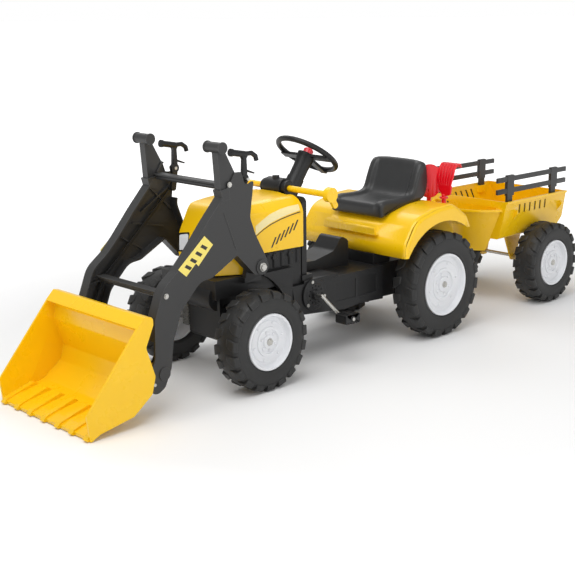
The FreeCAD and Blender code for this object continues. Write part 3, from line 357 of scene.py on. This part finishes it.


# in each plastic look the lighter edge colour and its share paint a highlight along rounded edges; the steel
# looks' bright colour does the same
finishes = {
    "yellow": plastic("yellowShell", {
        "colour": (0.97, 0.585, 0.001), "mottle": (0.94, 0.56, 0.001), "highlightColour": (1.0, 0.72, 0.05),
        "roughness": (0.24, 0.33), "grainScale": 1100.0, "waveScale": 22.0, "grainShare": 0.18,
        "bump": 0.16,
        "depth": 0.0006, "highlightAmount": 0.35, "dust": 0.012, "coat": 0.15, "coatRough": 0.12}),
    "black": plastic("blackShell", {
        "colour": (0.0075, 0.0075, 0.008), "mottle": (0.010, 0.010, 0.0105),
        "highlightColour": (0.045, 0.045, 0.047),
        "specular": 0.4, "roughness": (0.36, 0.48), "grainScale": 1300.0, "grainShare": 0.6,
        "bump": 0.25, "depth": 0.0004,
        "highlightAmount": 0.45, "dust": 0.03, "dustColour": (0.10, 0.098, 0.095)}),
    "charcoal": plastic("charcoalArm", {
        "colour": (0.026, 0.026, 0.026), "mottle": (0.031, 0.031, 0.031),
        "highlightColour": (0.13, 0.13, 0.13),
        "roughness": (0.38, 0.50), "grainScale": 1400.0, "grainShare": 0.6, "bump": 0.25,
        "depth": 0.0004,
        "highlightAmount": 0.5, "dust": 0.06, "dustColour": (0.2, 0.2, 0.195)}),
    "seat": plastic("seatShell", {
        "colour": (0.018, 0.0185, 0.019), "mottle": (0.024, 0.0245, 0.025),
        "highlightColour": (0.12, 0.12, 0.125),
        "roughness": (0.33, 0.45), "grainScale": 800.0, "grainShare": 0.7, "bump": 0.35,
        "depth": 0.0005,
        "highlightAmount": 0.5, "dust": 0.08, "dustColour": (0.22, 0.22, 0.215)}),
    "rim": plastic("whiteRim", {
        "colour": (0.80, 0.81, 0.83), "mottle": (0.76, 0.77, 0.80), "highlightColour": (0.9, 0.9, 0.91),
        "roughness": (0.30, 0.40), "grainScale": 1000.0, "grainShare": 0.3, "bump": 0.15,
        "highlightAmount": 0.5,
        "dust": 0.03}),
    "tyre": plastic("tyreShell", {
        "colour": (0.014, 0.014, 0.0138), "mottle": (0.019, 0.019, 0.0185),
        "highlightColour": (0.06, 0.06, 0.059),
        "roughness": (0.48, 0.62), "grainScale": 700.0, "grainShare": 0.7, "bump": 0.4,
        "depth": 0.0006,
        "highlightAmount": 0.6, "dust": 0.08, "dustColour": (0.17, 0.165, 0.155), "edgeWidth": 0.002}),
    "red": plastic("redTool", {
        "colour": (0.80, 0.003, 0.014), "mottle": (0.74, 0.002, 0.012),
        "highlightColour": (0.85, 0.08, 0.08),
        "roughness": (0.24, 0.34), "grainScale": 1000.0, "grainShare": 0.2, "bump": 0.15,
        "highlightAmount": 0.35,
        "dust": 0.02, "coat": 0.2}),
    "horn": plastic("hornRed", {
        "colour": (0.66, 0.004, 0.02), "mottle": (0.60, 0.003, 0.016), "highlightColour": (0.8, 0.08, 0.08),
        "roughness": (0.2, 0.28), "grainScale": 900.0, "grainShare": 0.2, "bump": 0.1, "highlightAmount": 0.3,
        "coat": 0.3}),
    "lens": plastic("headlightLens", {
        "colour": (0.86, 0.88, 0.90), "mottle": (0.80, 0.82, 0.85), "highlightColour": (0.95, 0.95, 0.95),
        "roughness": (0.08, 0.14), "grainScale": 500.0, "grainShare": 0.1, "bump": 0.1, "highlightAmount": 0.3,
        "coat": 0.6}),
    "nylon": plastic("bushNylon", {
        "colour": (0.62, 0.61, 0.57), "mottle": (0.56, 0.55, 0.51), "highlightColour": (0.75, 0.74, 0.7),
        "roughness": (0.4, 0.5), "grainScale": 900.0, "bump": 0.2}),
    "label": plastic("labelCream", {
        "colour": (0.90, 0.74, 0.16), "mottle": (0.87, 0.71, 0.15), "highlightColour": (0.95, 0.85, 0.4),
        "roughness": (0.28, 0.36), "grainScale": 1500.0, "bump": 0.05, "highlightAmount": 0.2, "dust": 0.0}),
    "pale": plastic("labelPale", {
        "colour": (0.93, 0.80, 0.42), "mottle": (0.90, 0.76, 0.36), "highlightColour": (0.95, 0.9, 0.6),
        "roughness": (0.24, 0.32), "grainScale": 1500.0, "bump": 0.05, "highlightAmount": 0.2, "dust": 0.0}),
    "ink": plastic("labelInk", {
        "colour": (0.020, 0.016, 0.012), "mottle": (0.026, 0.021, 0.016),
        "highlightColour": (0.06, 0.05, 0.04),
        "roughness": (0.3, 0.4), "grainScale": 1500.0, "bump": 0.05, "highlightAmount": 0.2, "dust": 0.0}),
    "zinc": steel("zincPlate", {
        "colour": (0.60, 0.59, 0.56), "dull": (0.48, 0.47, 0.44), "edgeHighlightColour": (0.82, 0.82, 0.80),
        "roughness": (0.22, 0.36), "lineScale": 700.0}),
    "chain": steel("chainSteel", {
        "colour": (0.16, 0.155, 0.15), "dull": (0.10, 0.095, 0.09), "edgeHighlightColour": (0.4, 0.4, 0.39),
        "roughness": (0.35, 0.5), "lineScale": 500.0}),
}
print("finishes ready:", len(finishes))



keptPieces = {
    # node: (finish, record slot, edge rounding in mm, segments)
    "lower_chassis": ("black", "black_shell", 1.2, 2),
    "front_beam": ("black", "zinc", 0.6, 2),
    "firewall": ("black", "black_shell", 1.0, 2),
    "hood": ("yellow", "yellow_shell", 1.6, 3),
    "headlight_frames": ("black", "black_shell", 0.8, 2),
    "headlight_lenses": ("lens", "lens_white", 1.0, 3),
    "engine_panels": ("black", "black_shell", 0.8, 2),
    "rear_body": ("yellow", "yellow_shell", 0, 2),
    "cowl_drum": ("black", "black_shell", 1.0, 3),
    "crank_covers": ("black", "black_shell", 0.8, 2),
    "crank_cover_bolts": ("zinc", "zinc", 0.5, 2),
    "rear_axle_bushes": ("nylon", "bush_nylon", 0.4, 2),
    "drive_chain": ("chain", "chain_steel", 0.3, 2),
    "hitch_bracket": ("black", "black_shell", 0.8, 2),
    "boom_pivot_bolts": ("zinc", "zinc", 0.8, 2),
    "control_bar": ("yellow", "yellow_shell", 1.2, 3),
    "steering_shaft": ("black", "zinc", 0.4, 2),
    "steering_wheel": ("black", "black_shell", 1.2, 3),
    "horn_button": ("horn", "horn_red", 0.8, 3),
    "tie_rod": ("zinc", "zinc", 0.4, 2),
    "crank_rod": ("zinc", "zinc", 0.4, 2),
    "front_sprocket": ("chain", "chain_steel", 0.3, 2),
    "rear_sprocket": ("chain", "chain_steel", 0.3, 2),
    "rear_axle": ("zinc", "zinc", 0.4, 2),
    "axle_nuts": ("zinc", "zinc", 0.5, 2),
    "trailer_axle": ("zinc", "zinc", 0.4, 2),
    "trailer_axle_nuts": ("zinc", "zinc", 0.5, 2),
    "crossbars": ("charcoal", "charcoal_arm", 1.0, 2),
    "lift_grips": ("charcoal", "charcoal_arm", 1.2, 3),
    "boom_fasteners": ("zinc", "zinc", 0.5, 2),
    "bucket": ("yellow", "yellow_shell", 1.8, 3),
    "bucket_pins": ("zinc", "zinc", 0.5, 2),
    "trailer_tub": ("yellow", "yellow_shell", 1.2, 3),
    "drawbar": ("black", "black_shell", 0.8, 2),
    "hitch_pin": ("zinc", "zinc", 0.4, 2),
    "shovel": ("red", "red_tool", 0.8, 2),
}
for side in ("left", "right"):
    keptPieces.update({
        "pedal_" + side: ("black", "black_shell", 0.8, 2),
        "knuckle_" + side: ("zinc", "zinc", 0.4, 2),
        "boom_" + side: ("charcoal", "charcoal_arm", 1.2, 2),
        "tilt_handle_" + side: ("black", "black_shell", 1.0, 3),
        "pull_rod_" + side: ("black", "zinc", 0.4, 2),
        "fence_" + side: ("charcoal", "black_shell", 0.8, 2),
    })
finished = {}
for node, (finish, slotName, rounding, segments) in keptPieces.items():
    finished[node] = fromNode(node, finishes[finish], rounding * mm, segments,
        flatten=rounding > 0)
print("machined pieces finished:", len(finished))



tyreLook = {
    "lugCount": 19,        # blocks on each shoulder
    "lugDepth": 5.0,       # mm, tread height
    "shoulderShare": 0.66, # of one pitch, at the shoulder
    "middleShare": 0.42,   # of one pitch, at the centre line
    "slant": 0.34,         # of one pitch, lean of a block towards the middle
    "segments": 114,
}


def tyreCarcass(centre, side, outerR, innerR, width):
    w = width
    tread = outerR - tyreLook["lugDepth"] * mm
    step = [
        (innerR + 0.4 * mm, 10 * mm), (innerR + 0.8 * mm, 5 * mm), (innerR + 3 * mm, 2.6 * mm),
        (innerR + 7 * mm, 1.8 * mm), (innerR + 9 * mm, 2.4 * mm), (innerR + 11 * mm, 1.6 * mm),
        (innerR + 0.62 * (tread - innerR), 1.4 * mm), (tread - 10 * mm, 2.6 * mm),
        (tread - 4 * mm, 5.5 * mm),
        (tread - 1.2 * mm, 10 * mm), (tread, 16 * mm), (outerR - 2.6 * mm, w * 0.30),
        (outerR - 1.8 * mm, w / 2),
    ]
    back = [(r, w - d) for r, d in reversed(step[:-1])]
    inside = [(innerR + 6 * mm, w - 12 * mm), (innerR + 6 * mm, 12 * mm)]
    bm, rings = turned(step + back + inside, centre, side, tyreLook["segments"])
    first, last = rings[0], rings[-1]
    for i in range(len(first)):
        j = (i + 1) % len(first)
        bm.faces.new((last[i], last[j], first[j], first[i]))
    return bm


def tyreLug(bm, centre, side, outerR, innerR, width, angle, pitch, far):  # one tread block
    look = tyreLook
    tread = outerR - look["lugDepth"] * mm
    foot = innerR + 0.70 * (outerR - innerR)
    path = [  # radius, depth from the outer face, share of pitch, lean
        (foot, 0.5 * mm, look["shoulderShare"], 0.0, foot - 3 * mm, 5 * mm),
        (foot + 2.5 * mm, 0.0, look["shoulderShare"], 0.0, foot, 5 * mm),
        (outerR - 7 * mm, 0.3 * mm, look["shoulderShare"] * 0.98, 0.0, tread - 12 * mm, 7 * mm),
        (outerR - 2.2 * mm, 2.2 * mm, look["shoulderShare"] * 0.95, 0.0, tread - 8 * mm, 9 * mm),
        (outerR - 0.4 * mm, 7 * mm, look["shoulderShare"] * 0.9, look["slant"] * 0.1,
            tread - 4 * mm, 12 * mm),
        (outerR, width * 0.22, look["shoulderShare"] * 0.84, look["slant"] * 0.3, tread - 3 * mm,
            width * 0.24),
        (outerR - 0.3 * mm, width * 0.36, look["middleShare"], look["slant"] * 0.6, tread - 3 * mm,
            width * 0.36),
        (outerR - 2.4 * mm, width * 0.40, look["middleShare"] * 0.8, look["slant"] * 0.65,
            tread - 3 * mm, width * 0.41),
    ]
    columns = []
    for radius, depth, share, lean, baseR, baseDepth in path:
        column = []
        for r, d, edge, grow in ((radius, depth, -1, 1.0), (radius, depth, 1, 1.0),
                                 (baseR, baseDepth, 1, 1.12), (baseR, baseDepth, -1, 1.12)):
            a = angle + pitch * (lean + edge * share * grow / 2)
            y = width - d if far else d
            column.append(bm.verts.new((
                centre.x + r * math.cos(a), centre.y - side * y, centre.z + r * math.sin(a))))
        columns.append(column)
    for a, b in zip(columns, columns[1:]):
        for k in range(4):
            n = (k + 1) % 4
            bm.faces.new((a[k], a[n], b[n], b[k]))
    bm.faces.new(columns[0][::-1])
    bm.faces.new(columns[-1])


def tyreMesh(centre, side, outerR, innerR, width, turn):  # centre is on the tyre's outer face
    carcass = tyreCarcass(centre, side, outerR, innerR, width)
    lugs = bmesh.new()
    pitch = 2 * math.pi / tyreLook["lugCount"]
    for i in range(tyreLook["lugCount"]):
        tyreLug(lugs, centre, side, outerR, innerR, width, turn + i * pitch, pitch, False)
        tyreLug(lugs, centre, side, outerR, innerR, width, turn + (i + 0.5) * pitch, pitch, True)
    return carcass, lugs


def wheelPlace(tyreNode, side):
    # middle of one tyre's outer face and its sizes; a node may hold a pair of tyres
    low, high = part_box(tyreNode)
    outerR = (high.z - low.z) / 2
    middle = (low + high) / 2
    y = high.y if side > 0 else low.y
    return Vector((middle.x, y, middle.z)), outerR


rimShare = {"front": 68.0 / 118.5, "rear": 84.5 / 142.0, "trailer": 68.0 / 118.5}
tyreWidth = 72.0 * mm
wheelSets = [
    ("front", 1, "front_tyre_left", "front_rim_left"),
    ("front", -1, "front_tyre_right", "front_rim_right"),
    ("rear", 1, "rear_tyres", "rear_rims"), ("rear", -1, "rear_tyres", "rear_rims"),
    ("trailer", 1, "trailer_tyre_left", "trailer_rim_left"),
    ("trailer", -1, "trailer_tyre_right", "trailer_rim_right"),
]
for kind, side, tyreNode, rimNode in wheelSets:
    place, outerR = wheelPlace(tyreNode, side)
    word = "left" if side > 0 else "right"
    turn = {"front": 0.1, "rear": 0.3, "trailer": 0.22}[kind]
    innerR = outerR * rimShare[kind]
    carcass, lugs = tyreMesh(place, side, outerR, innerR, tyreWidth, turn)
    newPiece(f"{kind}_{word}_tyre_body", carcass, nodeBody[tyreNode], finishes["tyre"],
        40,
             replaced=[tyreNode])
    newPiece(f"{kind}_{word}_tyre_lugs", lugs, nodeBody[tyreNode], finishes["tyre"],
        30,
             1.4 * mm, 2, replaced=[tyreNode])
print("tyres moulded")



rimLook = {"segments": 96, "bossCount": 6}


def rimFace(centre, side, radius):  # turned rim: outer lip, deep ring, step, flat hub
    profile = [
        (radius - 0.2 * mm, 9 * mm), (radius - 0.3 * mm, 3.0 * mm), (radius - 1.4 * mm, 1.2 * mm),
        (radius - 4.4 * mm, 1.0 * mm), (radius - 6.0 * mm, 2.4 * mm),
        (radius - 7.6 * mm, 12.0 * mm),
        (radius - 10.0 * mm, 15.0 * mm), (radius * 0.76, 15.5 * mm), (radius * 0.72, 13.0 * mm),
        (radius * 0.58, 12.4 * mm), (radius * 0.53, 12.2 * mm), (radius * 0.51, 8.6 * mm),
        (radius * 0.47, 7.8 * mm),
        (radius * 0.43, 8.4 * mm), (radius * 0.41, 12.6 * mm), (radius * 0.37, 13.2 * mm),
        (radius * 0.25, 12.6 * mm),
        (radius * 0.23, 8.4 * mm), (radius * 0.16, 7.8 * mm), (radius * 0.05, 7.8 * mm),
    ]
    back = [(radius * 0.05, 17 * mm), (radius * 0.16, 18 * mm), (radius * 0.5, 18 * mm),
        (radius * 0.8, 19 * mm),
            (radius - 9.5 * mm, 19 * mm), (radius - 4.5 * mm, 30 * mm),
            (radius - 4.5 * mm, 60 * mm), (radius - 1 * mm, 60 * mm),
            (radius - 1 * mm, 12 * mm)]
    bm, rings = turned(profile + back, centre, side, rimLook["segments"])
    first, last = rings[0], rings[-1]
    for i in range(len(first)):
        j = (i + 1) % len(first)
        bm.faces.new((last[i], last[j], first[j], first[i]))
    return bm


def dome(bm, centre, side, x, z, depth, radius, height, segments=16):
    rings = []
    for r, h in ((1.15, -1.5), (1.0, 0.35), (0.8, 0.82), (0.42, 1.0)):
        rings.append([bm.verts.new((
            centre.x + x + r * radius * math.cos(2 * math.pi * i / segments),
            centre.y - side * (depth - h * height),
            centre.z + z + r * radius * math.sin(2 * math.pi * i / segments)))
            for i in range(segments)])
    for a, b in zip(rings, rings[1:]):
        for i in range(segments):
            j = (i + 1) % segments
            bm.faces.new((a[i], a[j], b[j], b[i]))
    bm.faces.new(rings[-1])
    bm.faces.new(rings[0][::-1])


def rimBosses(centre, side, radius):
    bm = bmesh.new()
    for i in range(rimLook["bossCount"]):
        a = 2 * math.pi * (i + 0.3) / rimLook["bossCount"]
        dome(bm, centre, side, 0.32 * radius * math.cos(a), 0.32 * radius * math.sin(a), 13.0 * mm,
             0.055 * radius, 3.6 * mm)
        b = a + math.pi / rimLook["bossCount"]
        dome(bm, centre, side, 0.66 * radius * math.cos(b), 0.66 * radius * math.sin(b), 12.8 * mm,
             0.05 * radius, 3.0 * mm)
    return bm


for kind, side, tyreNode, rimNode in wheelSets:
    place, outerR = wheelPlace(tyreNode, side)
    innerR = outerR * rimShare[kind]
    word = "left" if side > 0 else "right"
    newPiece(f"{kind}_{word}_rim_dish", rimFace(place, side, innerR), nodeBody[rimNode],
        finishes["rim"],
             30, replaced=[rimNode])
    newPiece(f"{kind}_{word}_rim_bosses", rimBosses(place, side, innerR), nodeBody[rimNode],
        finishes["rim"],
             40, replaced=[rimNode])
print("rims turned")



originX = 234.1  # mm from the rear axle to the middle of the overall length
detailLook = {
    "lift": 0.35,       # mm a label stands off the plastic
    "hashCount": 6,     # slanted dark bars on the hood side
    "barCount": 4,      # slanted bars in the arm label
}


def at(x, y, z):
    return Vector(((x - originX) * mm, y * mm, z * mm))


def sidePlate(name, node, side, points, y, thick, finish, bevel=0.15):
    # flat plate on an upright face
    bm = prismFrom(points, lambda p, d: at(p[0], side * (y + d), p[1]), thick)
    return newPiece(name, bm, nodeBody[node], finishes[finish], 30, bevel * mm, 2)


def surfaceTree(node):
    bm = bmesh.new()
    bm.from_mesh(frame["nodes"][node].data)
    tree = BVHTree.FromBMesh(bm)
    bm.free()
    return tree


def wrapped(tree, side, corners, along=16, across=4):
    # thin closed skin laid on a curved side; corners: two edges
    first, second = corners
    bm = bmesh.new()

    def onEdge(edge, t):
        spot = t * (len(edge) - 1)
        k = min(int(spot), len(edge) - 2)
        f = spot - k
        return [edge[k][c] * (1 - f) + edge[k + 1][c] * f for c in (0, 1)]

    sheets = ([], [])
    for i in range(along + 1):
        a = onEdge(first, i / along)
        b = onEdge(second, i / along)
        rows = ([], [])
        for j in range(across + 1):
            t = j / across
            start = at(a[0] * (1 - t) + b[0] * t, side * 200, a[1] * (1 - t) + b[1] * t)
            hit, normal, _, _ = tree.ray_cast(start, Vector((0, -side, 0)))
            if hit is None:
                hit, normal = at(a[0], side * 100, a[1]), Vector((0, side, 0))
            rows[0].append(bm.verts.new(hit + normal * detailLook["lift"] * mm))
            rows[1].append(bm.verts.new(hit - normal * 0.5 * mm))
        sheets[0].append(rows[0])
        sheets[1].append(rows[1])
    for sheet in sheets:
        for i in range(along):
            for j in range(across):
                bm.faces.new((sheet[i][j], sheet[i + 1][j], sheet[i + 1][j + 1], sheet[i][j + 1]))
    top, under = sheets
    rim = [(i, 0) for i in range(along + 1)] + [(along, j) for j in range(1, across + 1)]
    rim += [(i, across) for i in range(along - 1, -1, -1)] + [(0, j)
        for j in range(across - 1, 0, -1)]
    for (a, b), (c, d) in zip(rim, rim[1:] + rim[:1]):
        bm.faces.new((top[a][b], top[c][d], under[c][d], under[a][b]))
    return bm


# mm
seatLook = {"half": 94.0, "edge": 11.0, "wingFrom": 60.0, "wingTo": 74.0, "wing": 8.0, "crown": 9.0}
seatPath = [  # x, z and wing share, from the front lip over pan and backrest to the underside
    (134, 322, 0), (138, 340, 0), (137, 355, 0.4), (128, 364, 0.9), (60, 360, 1), (22, 362, 1),
    (2, 373, 1.1),
    (-10, 402, 1.2), (-22, 436, 1.1), (-28, 455, 0.6), (-36, 463, 0), (-47, 459, 0), (-53, 422, 0),
    (-53, 392, 0),
    (-44, 366, 0), (-30, 354, 0), (30, 348, 0), (100, 334, 0),
]


def softLoop(points, rounds):  # corners cut again and again
    for _ in range(rounds):
        cut = []
        for a, b in zip(points, points[1:] + points[:1]):
            cut.append(tuple(u * 0.75 + v * 0.25 for u, v in zip(a, b)))
            cut.append(tuple(u * 0.25 + v * 0.75 for u, v in zip(a, b)))
        points = cut
    return points


def seatMesh():
    look = seatLook
    loop = softLoop(seatPath, 2)
    count = len(loop)
    normals = []
    for i in range(count):
        a, b = loop[i - 1], loop[(i + 1) % count]
        across = Vector((b[0] - a[0], b[1] - a[1])).normalized()
        normals.append((across.y, -across.x))
    if sum(n[0] * (p[0] - 40) + n[1] * (p[1] - 380) for n, p in zip(normals, loop)) < 0:
        normals = [(-a, -b) for a, b in normals]
    half = look["half"]
    spots = [0, 24, 46, look["wingFrom"], 63, 66, 69, 72, look["wingTo"], 80, 85, 88, 90.5, 92.5,
        93.6, half]
    spots = [-y for y in reversed(spots[1:])] + spots
    bm = bmesh.new()
    slices = []
    for y in spots:
        t = min(max((abs(y) - look["wingFrom"]) / (look["wingTo"] - look["wingFrom"]), 0), 1)
        raised = look["wing"] * t * t * (3 - 2 * t)
        beyond = max(abs(y) - half + look["edge"], 0)
        inset = look["edge"] - math.sqrt(max(look["edge"] ** 2 - beyond ** 2, 0))
        ring = []
        for (x, z, share), (nx, nz) in zip(loop, normals):
            out = raised * share - inset
            tall = max((z - 400) / 62, 0)
            drop = look["crown"] * tall * (abs(y) / half) ** 4
            ring.append(bm.verts.new(at(x + nx * out, y, z + nz * out - drop)))
        slices.append(ring)
    for a, b in zip(slices, slices[1:]):
        for i in range(count):
            j = (i + 1) % count
            bm.faces.new((a[i], a[j], b[j], b[i]))
    bm.faces.new(slices[0])
    bm.faces.new(slices[-1][::-1])
    return bm


newPiece("seat_shell", seatMesh(), nodeBody["seat"], finishes["seat"], 40,
    replaced=["seat"])
for side, word in ((1, "left"), (-1, "right")):
    low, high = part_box(f"pedal_{word}")
    middle = (low + high) / 2
    cap = bmesh.new()
    face = high.y if side > 0 else low.y
    dome(cap, Vector((middle.x, face, middle.z)), side, 0, 0, 0, 8 * mm, 2.4 * mm, 24)
    newPiece(f"pedal_cap_{word}", cap, nodeBody[f"pedal_{word}"], finishes["black"],
        40)
print("seat and pedal caps made")

rakeLook = {"fingers": 6, "width": 8.2, "thick": 4.4, "x": -92.0, "y": 116.0}  # mm
# x behind the handle, z
fingerPath = [(0, 372), (1, 392), (-1, 414), (-7, 434), (-18, 447), (-30, 448), (-38, 438)]


def rakeMesh():  # broad curved fingers fanning out of the neck
    look = rakeLook
    bm = bmesh.new()
    for i in range(look["fingers"]):
        rings = []
        for k, (x, z) in enumerate(fingerPath):
            spread = min(k / 2.0, 1.0)
            y = look["y"] + 2.4 + (i - 2.5) * (5.0 + 4.6 * spread)
            wide = look["width"] * (0.8 if k == 0 else 1.0) * (0.72 if k == len(fingerPath) - 1 else 1.0) / 2
            deep = look["thick"] / 2
            before = fingerPath[max(k - 1, 0)]
            after = fingerPath[min(k + 1, len(fingerPath) - 1)]
            way = Vector((after[0] - before[0], after[1] - before[1])).normalized()
            nx, nz = way.y * deep, -way.x * deep
            ring = [bm.verts.new(at(look["x"] + x + a * nx, y + b * wide, z + a * nz))
                    for a, b in ((-1, -1), (-1, 1), (1, 1), (1, -1))]
            rings.append(ring)
        for a, b in zip(rings, rings[1:]):
            for k in range(4):
                n = (k + 1) % 4
                bm.faces.new((a[k], a[n], b[n], b[k]))
        bm.faces.new(rings[0][::-1])
        bm.faces.new(rings[-1])
    neck = [(20, 366), (24, 384), (22, 392), (-20, 392), (-22, 384), (-8, 362), (8, 362)]
    plate = prismFrom(neck, lambda p, d: at(look["x"] - 3 + d, look["y"] + 2.4 + p[0], p[1]), 6.0)
    appendTo(bm, plate)
    for low, high, r in ((206, 366, 6.5), (354.4, 359, 12), (206, 232, 8)):
        rod = bmesh.new()
        bmesh.ops.create_cone(rod, cap_ends=True, segments=32, radius1=r * mm, radius2=r * mm,
            depth=(high - low) * mm,
                              matrix=Matrix.Translation(at(look["x"], look["y"], (low + high) / 2)))
        appendTo(bm, rod)
    return bm


newPiece("rake_head", rakeMesh(), nodeBody["rake"], finishes["red"], 30, 1.2 * mm, 2,
    replaced=["rake"])
for kind, side, tyreNode, rimNode in wheelSets:
    place, outerR = wheelPlace(tyreNode, side)
    word = "left" if side > 0 else "right"
    washer = bmesh.new()
    dome(washer, place, side, 0, 0, 8.2 * mm, 8.5 * mm, 1.6 * mm, 28)
    newPiece(f"{kind}_{word}_washer", washer, nodeBody[rimNode], finishes["zinc"], 30)
print("tools and washers made")

armLabel = [(783, 382), (759, 359), (802, 317), (809, 324), (837, 299), (859, 318)]
hoodTree = surfaceTree("hood")
for side, word in ((1, "left"), (-1, "right")):
    sidePlate(f"arm_label_{word}", "boom_left", side, armLabel, 147.0, 0.4, "label")
    for i in range(detailLook["barCount"]):
        t = (i + 0.5) / detailLook["barCount"]
        middle = Vector((778 + 61 * t, 363 - 51 * t))
        ahead, over = Vector((0.735, -0.677)), Vector((0.677, 0.735))
        bar = [middle + ahead * u + over * v
            for u, v in ((-7, -8.5), (1, -8.5), (6, 8.5), (-2, 8.5))]
        sidePlate(f"arm_label_bar_{word}_{i}", "boom_left", side, [tuple(q) for q in bar], 147.35,
            0.3, "ink",
                  0.1)
    crease = [(726, 425), (723, 425), (690, 339), (693, 339)]
    sidePlate(f"arm_crease_{word}", "boom_left", side, crease, 146.5, 1.5, "charcoal",
        0.6)
    upper = [(592, 371), (570, 383), (545, 393), (510, 400), (480, 403), (446, 404)]
    lower = [(592, 350), (570, 362), (545, 372), (510, 381), (480, 386), (446, 390)]
    newPiece(f"hood_band_{word}", wrapped(hoodTree, side, (upper, lower), 24, 5), "chassis",
        finishes["pale"], 40)
    under = [(x, z - 2.5) for x, z in lower]
    below = [(x, z - 5.0) for x, z in lower]
    newPiece(f"hood_line_{word}", wrapped(hoodTree, side, (under, below), 24, 2), "chassis",
        finishes["ink"], 40)
    for i in range(detailLook["hashCount"]):
        t = i / (detailLook["hashCount"] - 1)
        x = 532 - 73 * t
        z = 324 + 32 * t
        left = [(x + 7, z - 12), (x - 7, z + 12)]
        right = [(x + 12, z - 12), (x - 2, z + 12)]
        newPiece(f"hood_hash_{word}_{i}", wrapped(hoodTree, side, (left, right), 6, 2), "chassis",
            finishes["ink"], 40)
    # painted shade: a thin black sheet set into each slanted slot of the trailer side stands for the shade
    # inside the slot
    for i in range(6):
        x = -424 - 26 * i
        slot = [(x - 3, 272), (x + 5, 272), (x + 13, 300), (x + 5, 300)]

        def wallPlace(p, d, side=side):
            outer = 116 + 29 * (p[1] - 200) / 114
            return at(p[0], side * (outer - 3.2 + d), p[1])

        slotShade = prismFrom(slot, wallPlace, 0.9)
        newPiece(f"trailer_slot_{word}_{i}", slotShade, "trailer", finishes["black"],
            30)
print("labels and slotShades laid on")

studio = {
    "floorColour": (0.93, 0.93, 0.93), "floorHalf": 60.0, "glowFrom": 0.9, "glowTo": 2.6,
    "glow": 0.75,
    "skyStrength": 0.50, "keyPower": 46.0, "fillPower": 13.0, "backPower": 14.0,
}


def paleFloor():  # wide and flat, brightening with distance into the white behind
    bm = bmesh.new()
    half = studio["floorHalf"]
    bm.faces.new([bm.verts.new((x, y, -0.0003))
        for x, y in ((-half, -half), (half, -half), (half, half), (-half, half))])
    mesh = bpy.data.meshes.new("floor")
    bm.to_mesh(mesh)
    bm.free()
    floor = bpy.data.objects.new("floor", mesh)
    bpy.context.scene.collection.objects.link(floor)
    material = bpy.data.materials.new("floorPale")
    material.use_nodes = True
    tree = material.node_tree
    shader = tree.nodes["Principled BSDF"]
    shader.inputs["Base Color"].default_value = (*studio["floorColour"], 1.0)
    shader.inputs["Roughness"].default_value = 0.55
    shader.inputs["Specular IOR Level"].default_value = 0.2
    shader.inputs["Emission Color"].default_value = (1.0, 1.0, 1.0, 1.0)
    place = tree.nodes.new("ShaderNodeTexCoord").outputs["Object"]
    far = tree.nodes.new("ShaderNodeVectorMath")
    far.operation = "LENGTH"
    tree.links.new(place, far.inputs[0])
    glow = rangeNode(tree, far.outputs["Value"], studio["glowFrom"], studio["glowTo"], 0.0,
        studio["glow"])
    tree.links.new(glow, shader.inputs["Emission Strength"])
    mesh.materials.append(material)
    floor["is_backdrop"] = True


def areaLight(name, place, aim, size, power):
    data = bpy.data.lights.new(name, "AREA")
    data.shape = "RECTANGLE"
    data.size, data.size_y = size
    data.energy = power
    light = bpy.data.objects.new(name, data)
    light.location = place
    light.rotation_mode = "QUATERNION"
    light.rotation_quaternion = (Vector(aim) - Vector(place)).to_track_quat("-Z", "Y")
    bpy.context.scene.collection.objects.link(light)
    light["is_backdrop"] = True


def softStudio():
    world = bpy.data.worlds.new("studioSky")
    bpy.context.scene.world = world
    world.use_nodes = True
    tree = world.node_tree
    sky = tree.nodes["Background"]
    sky.inputs["Color"].default_value = (1.0, 1.0, 1.0, 1.0)
    seen = tree.nodes.new("ShaderNodeLightPath").outputs["Is Camera Ray"]
    tree.links.new(rangeNode(tree, seen, 0.0, 1.0, studio["skyStrength"], 1.0),
        sky.inputs["Strength"])
    aim = (0.1, 0.0, 0.2)
    areaLight("keyLight", (1.2, 0.4, 2.6), aim, (2.2, 2.2), studio["keyPower"])
    areaLight("fillLight", (0.2, 2.8, 1.3), aim, (2.0, 1.4), studio["fillPower"])
    areaLight("backLight", (-1.0, -1.8, 2.2), aim, (2.0, 1.2), studio["backPower"])


def standCamera():
    view = {"place": (2.1178, 2.0589, 0.8787), "yaw": -133.59, "pitch": -14.01, "roll": -0.58,
        "lens": 71.5}
    yaw, pitch, roll = (math.radians(view[k]) for k in ("yaw", "pitch", "roll"))
    ahead = Vector((math.cos(pitch) * math.cos(yaw), math.cos(pitch) * math.sin(yaw),
        math.sin(pitch)))
    right = ahead.cross(Vector((0, 0, 1))).normalized()
    up = right.cross(ahead)
    turnedRight = math.cos(roll) * right + math.sin(roll) * up
    turnedUp = -math.sin(roll) * right + math.cos(roll) * up
    data = bpy.data.cameras.new("camera")
    data.lens = view["lens"]
    data.sensor_width = 36.0
    data.clip_start, data.clip_end = 0.05, 60.0
    camera = bpy.data.objects.new("camera", data)
    camera.matrix_world = Matrix((
        (turnedRight.x, turnedUp.x, -ahead.x, view["place"][0]),
        (turnedRight.y, turnedUp.y, -ahead.y, view["place"][1]),
        (turnedRight.z, turnedUp.z, -ahead.z, view["place"][2]),
        (0, 0, 0, 1)))
    bpy.context.scene.collection.objects.link(camera)
    bpy.context.scene.camera = camera


paleFloor()
softStudio()
standCamera()
bpy.context.scene.view_settings.view_transform = "Standard"
print("stage set")

low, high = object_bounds()
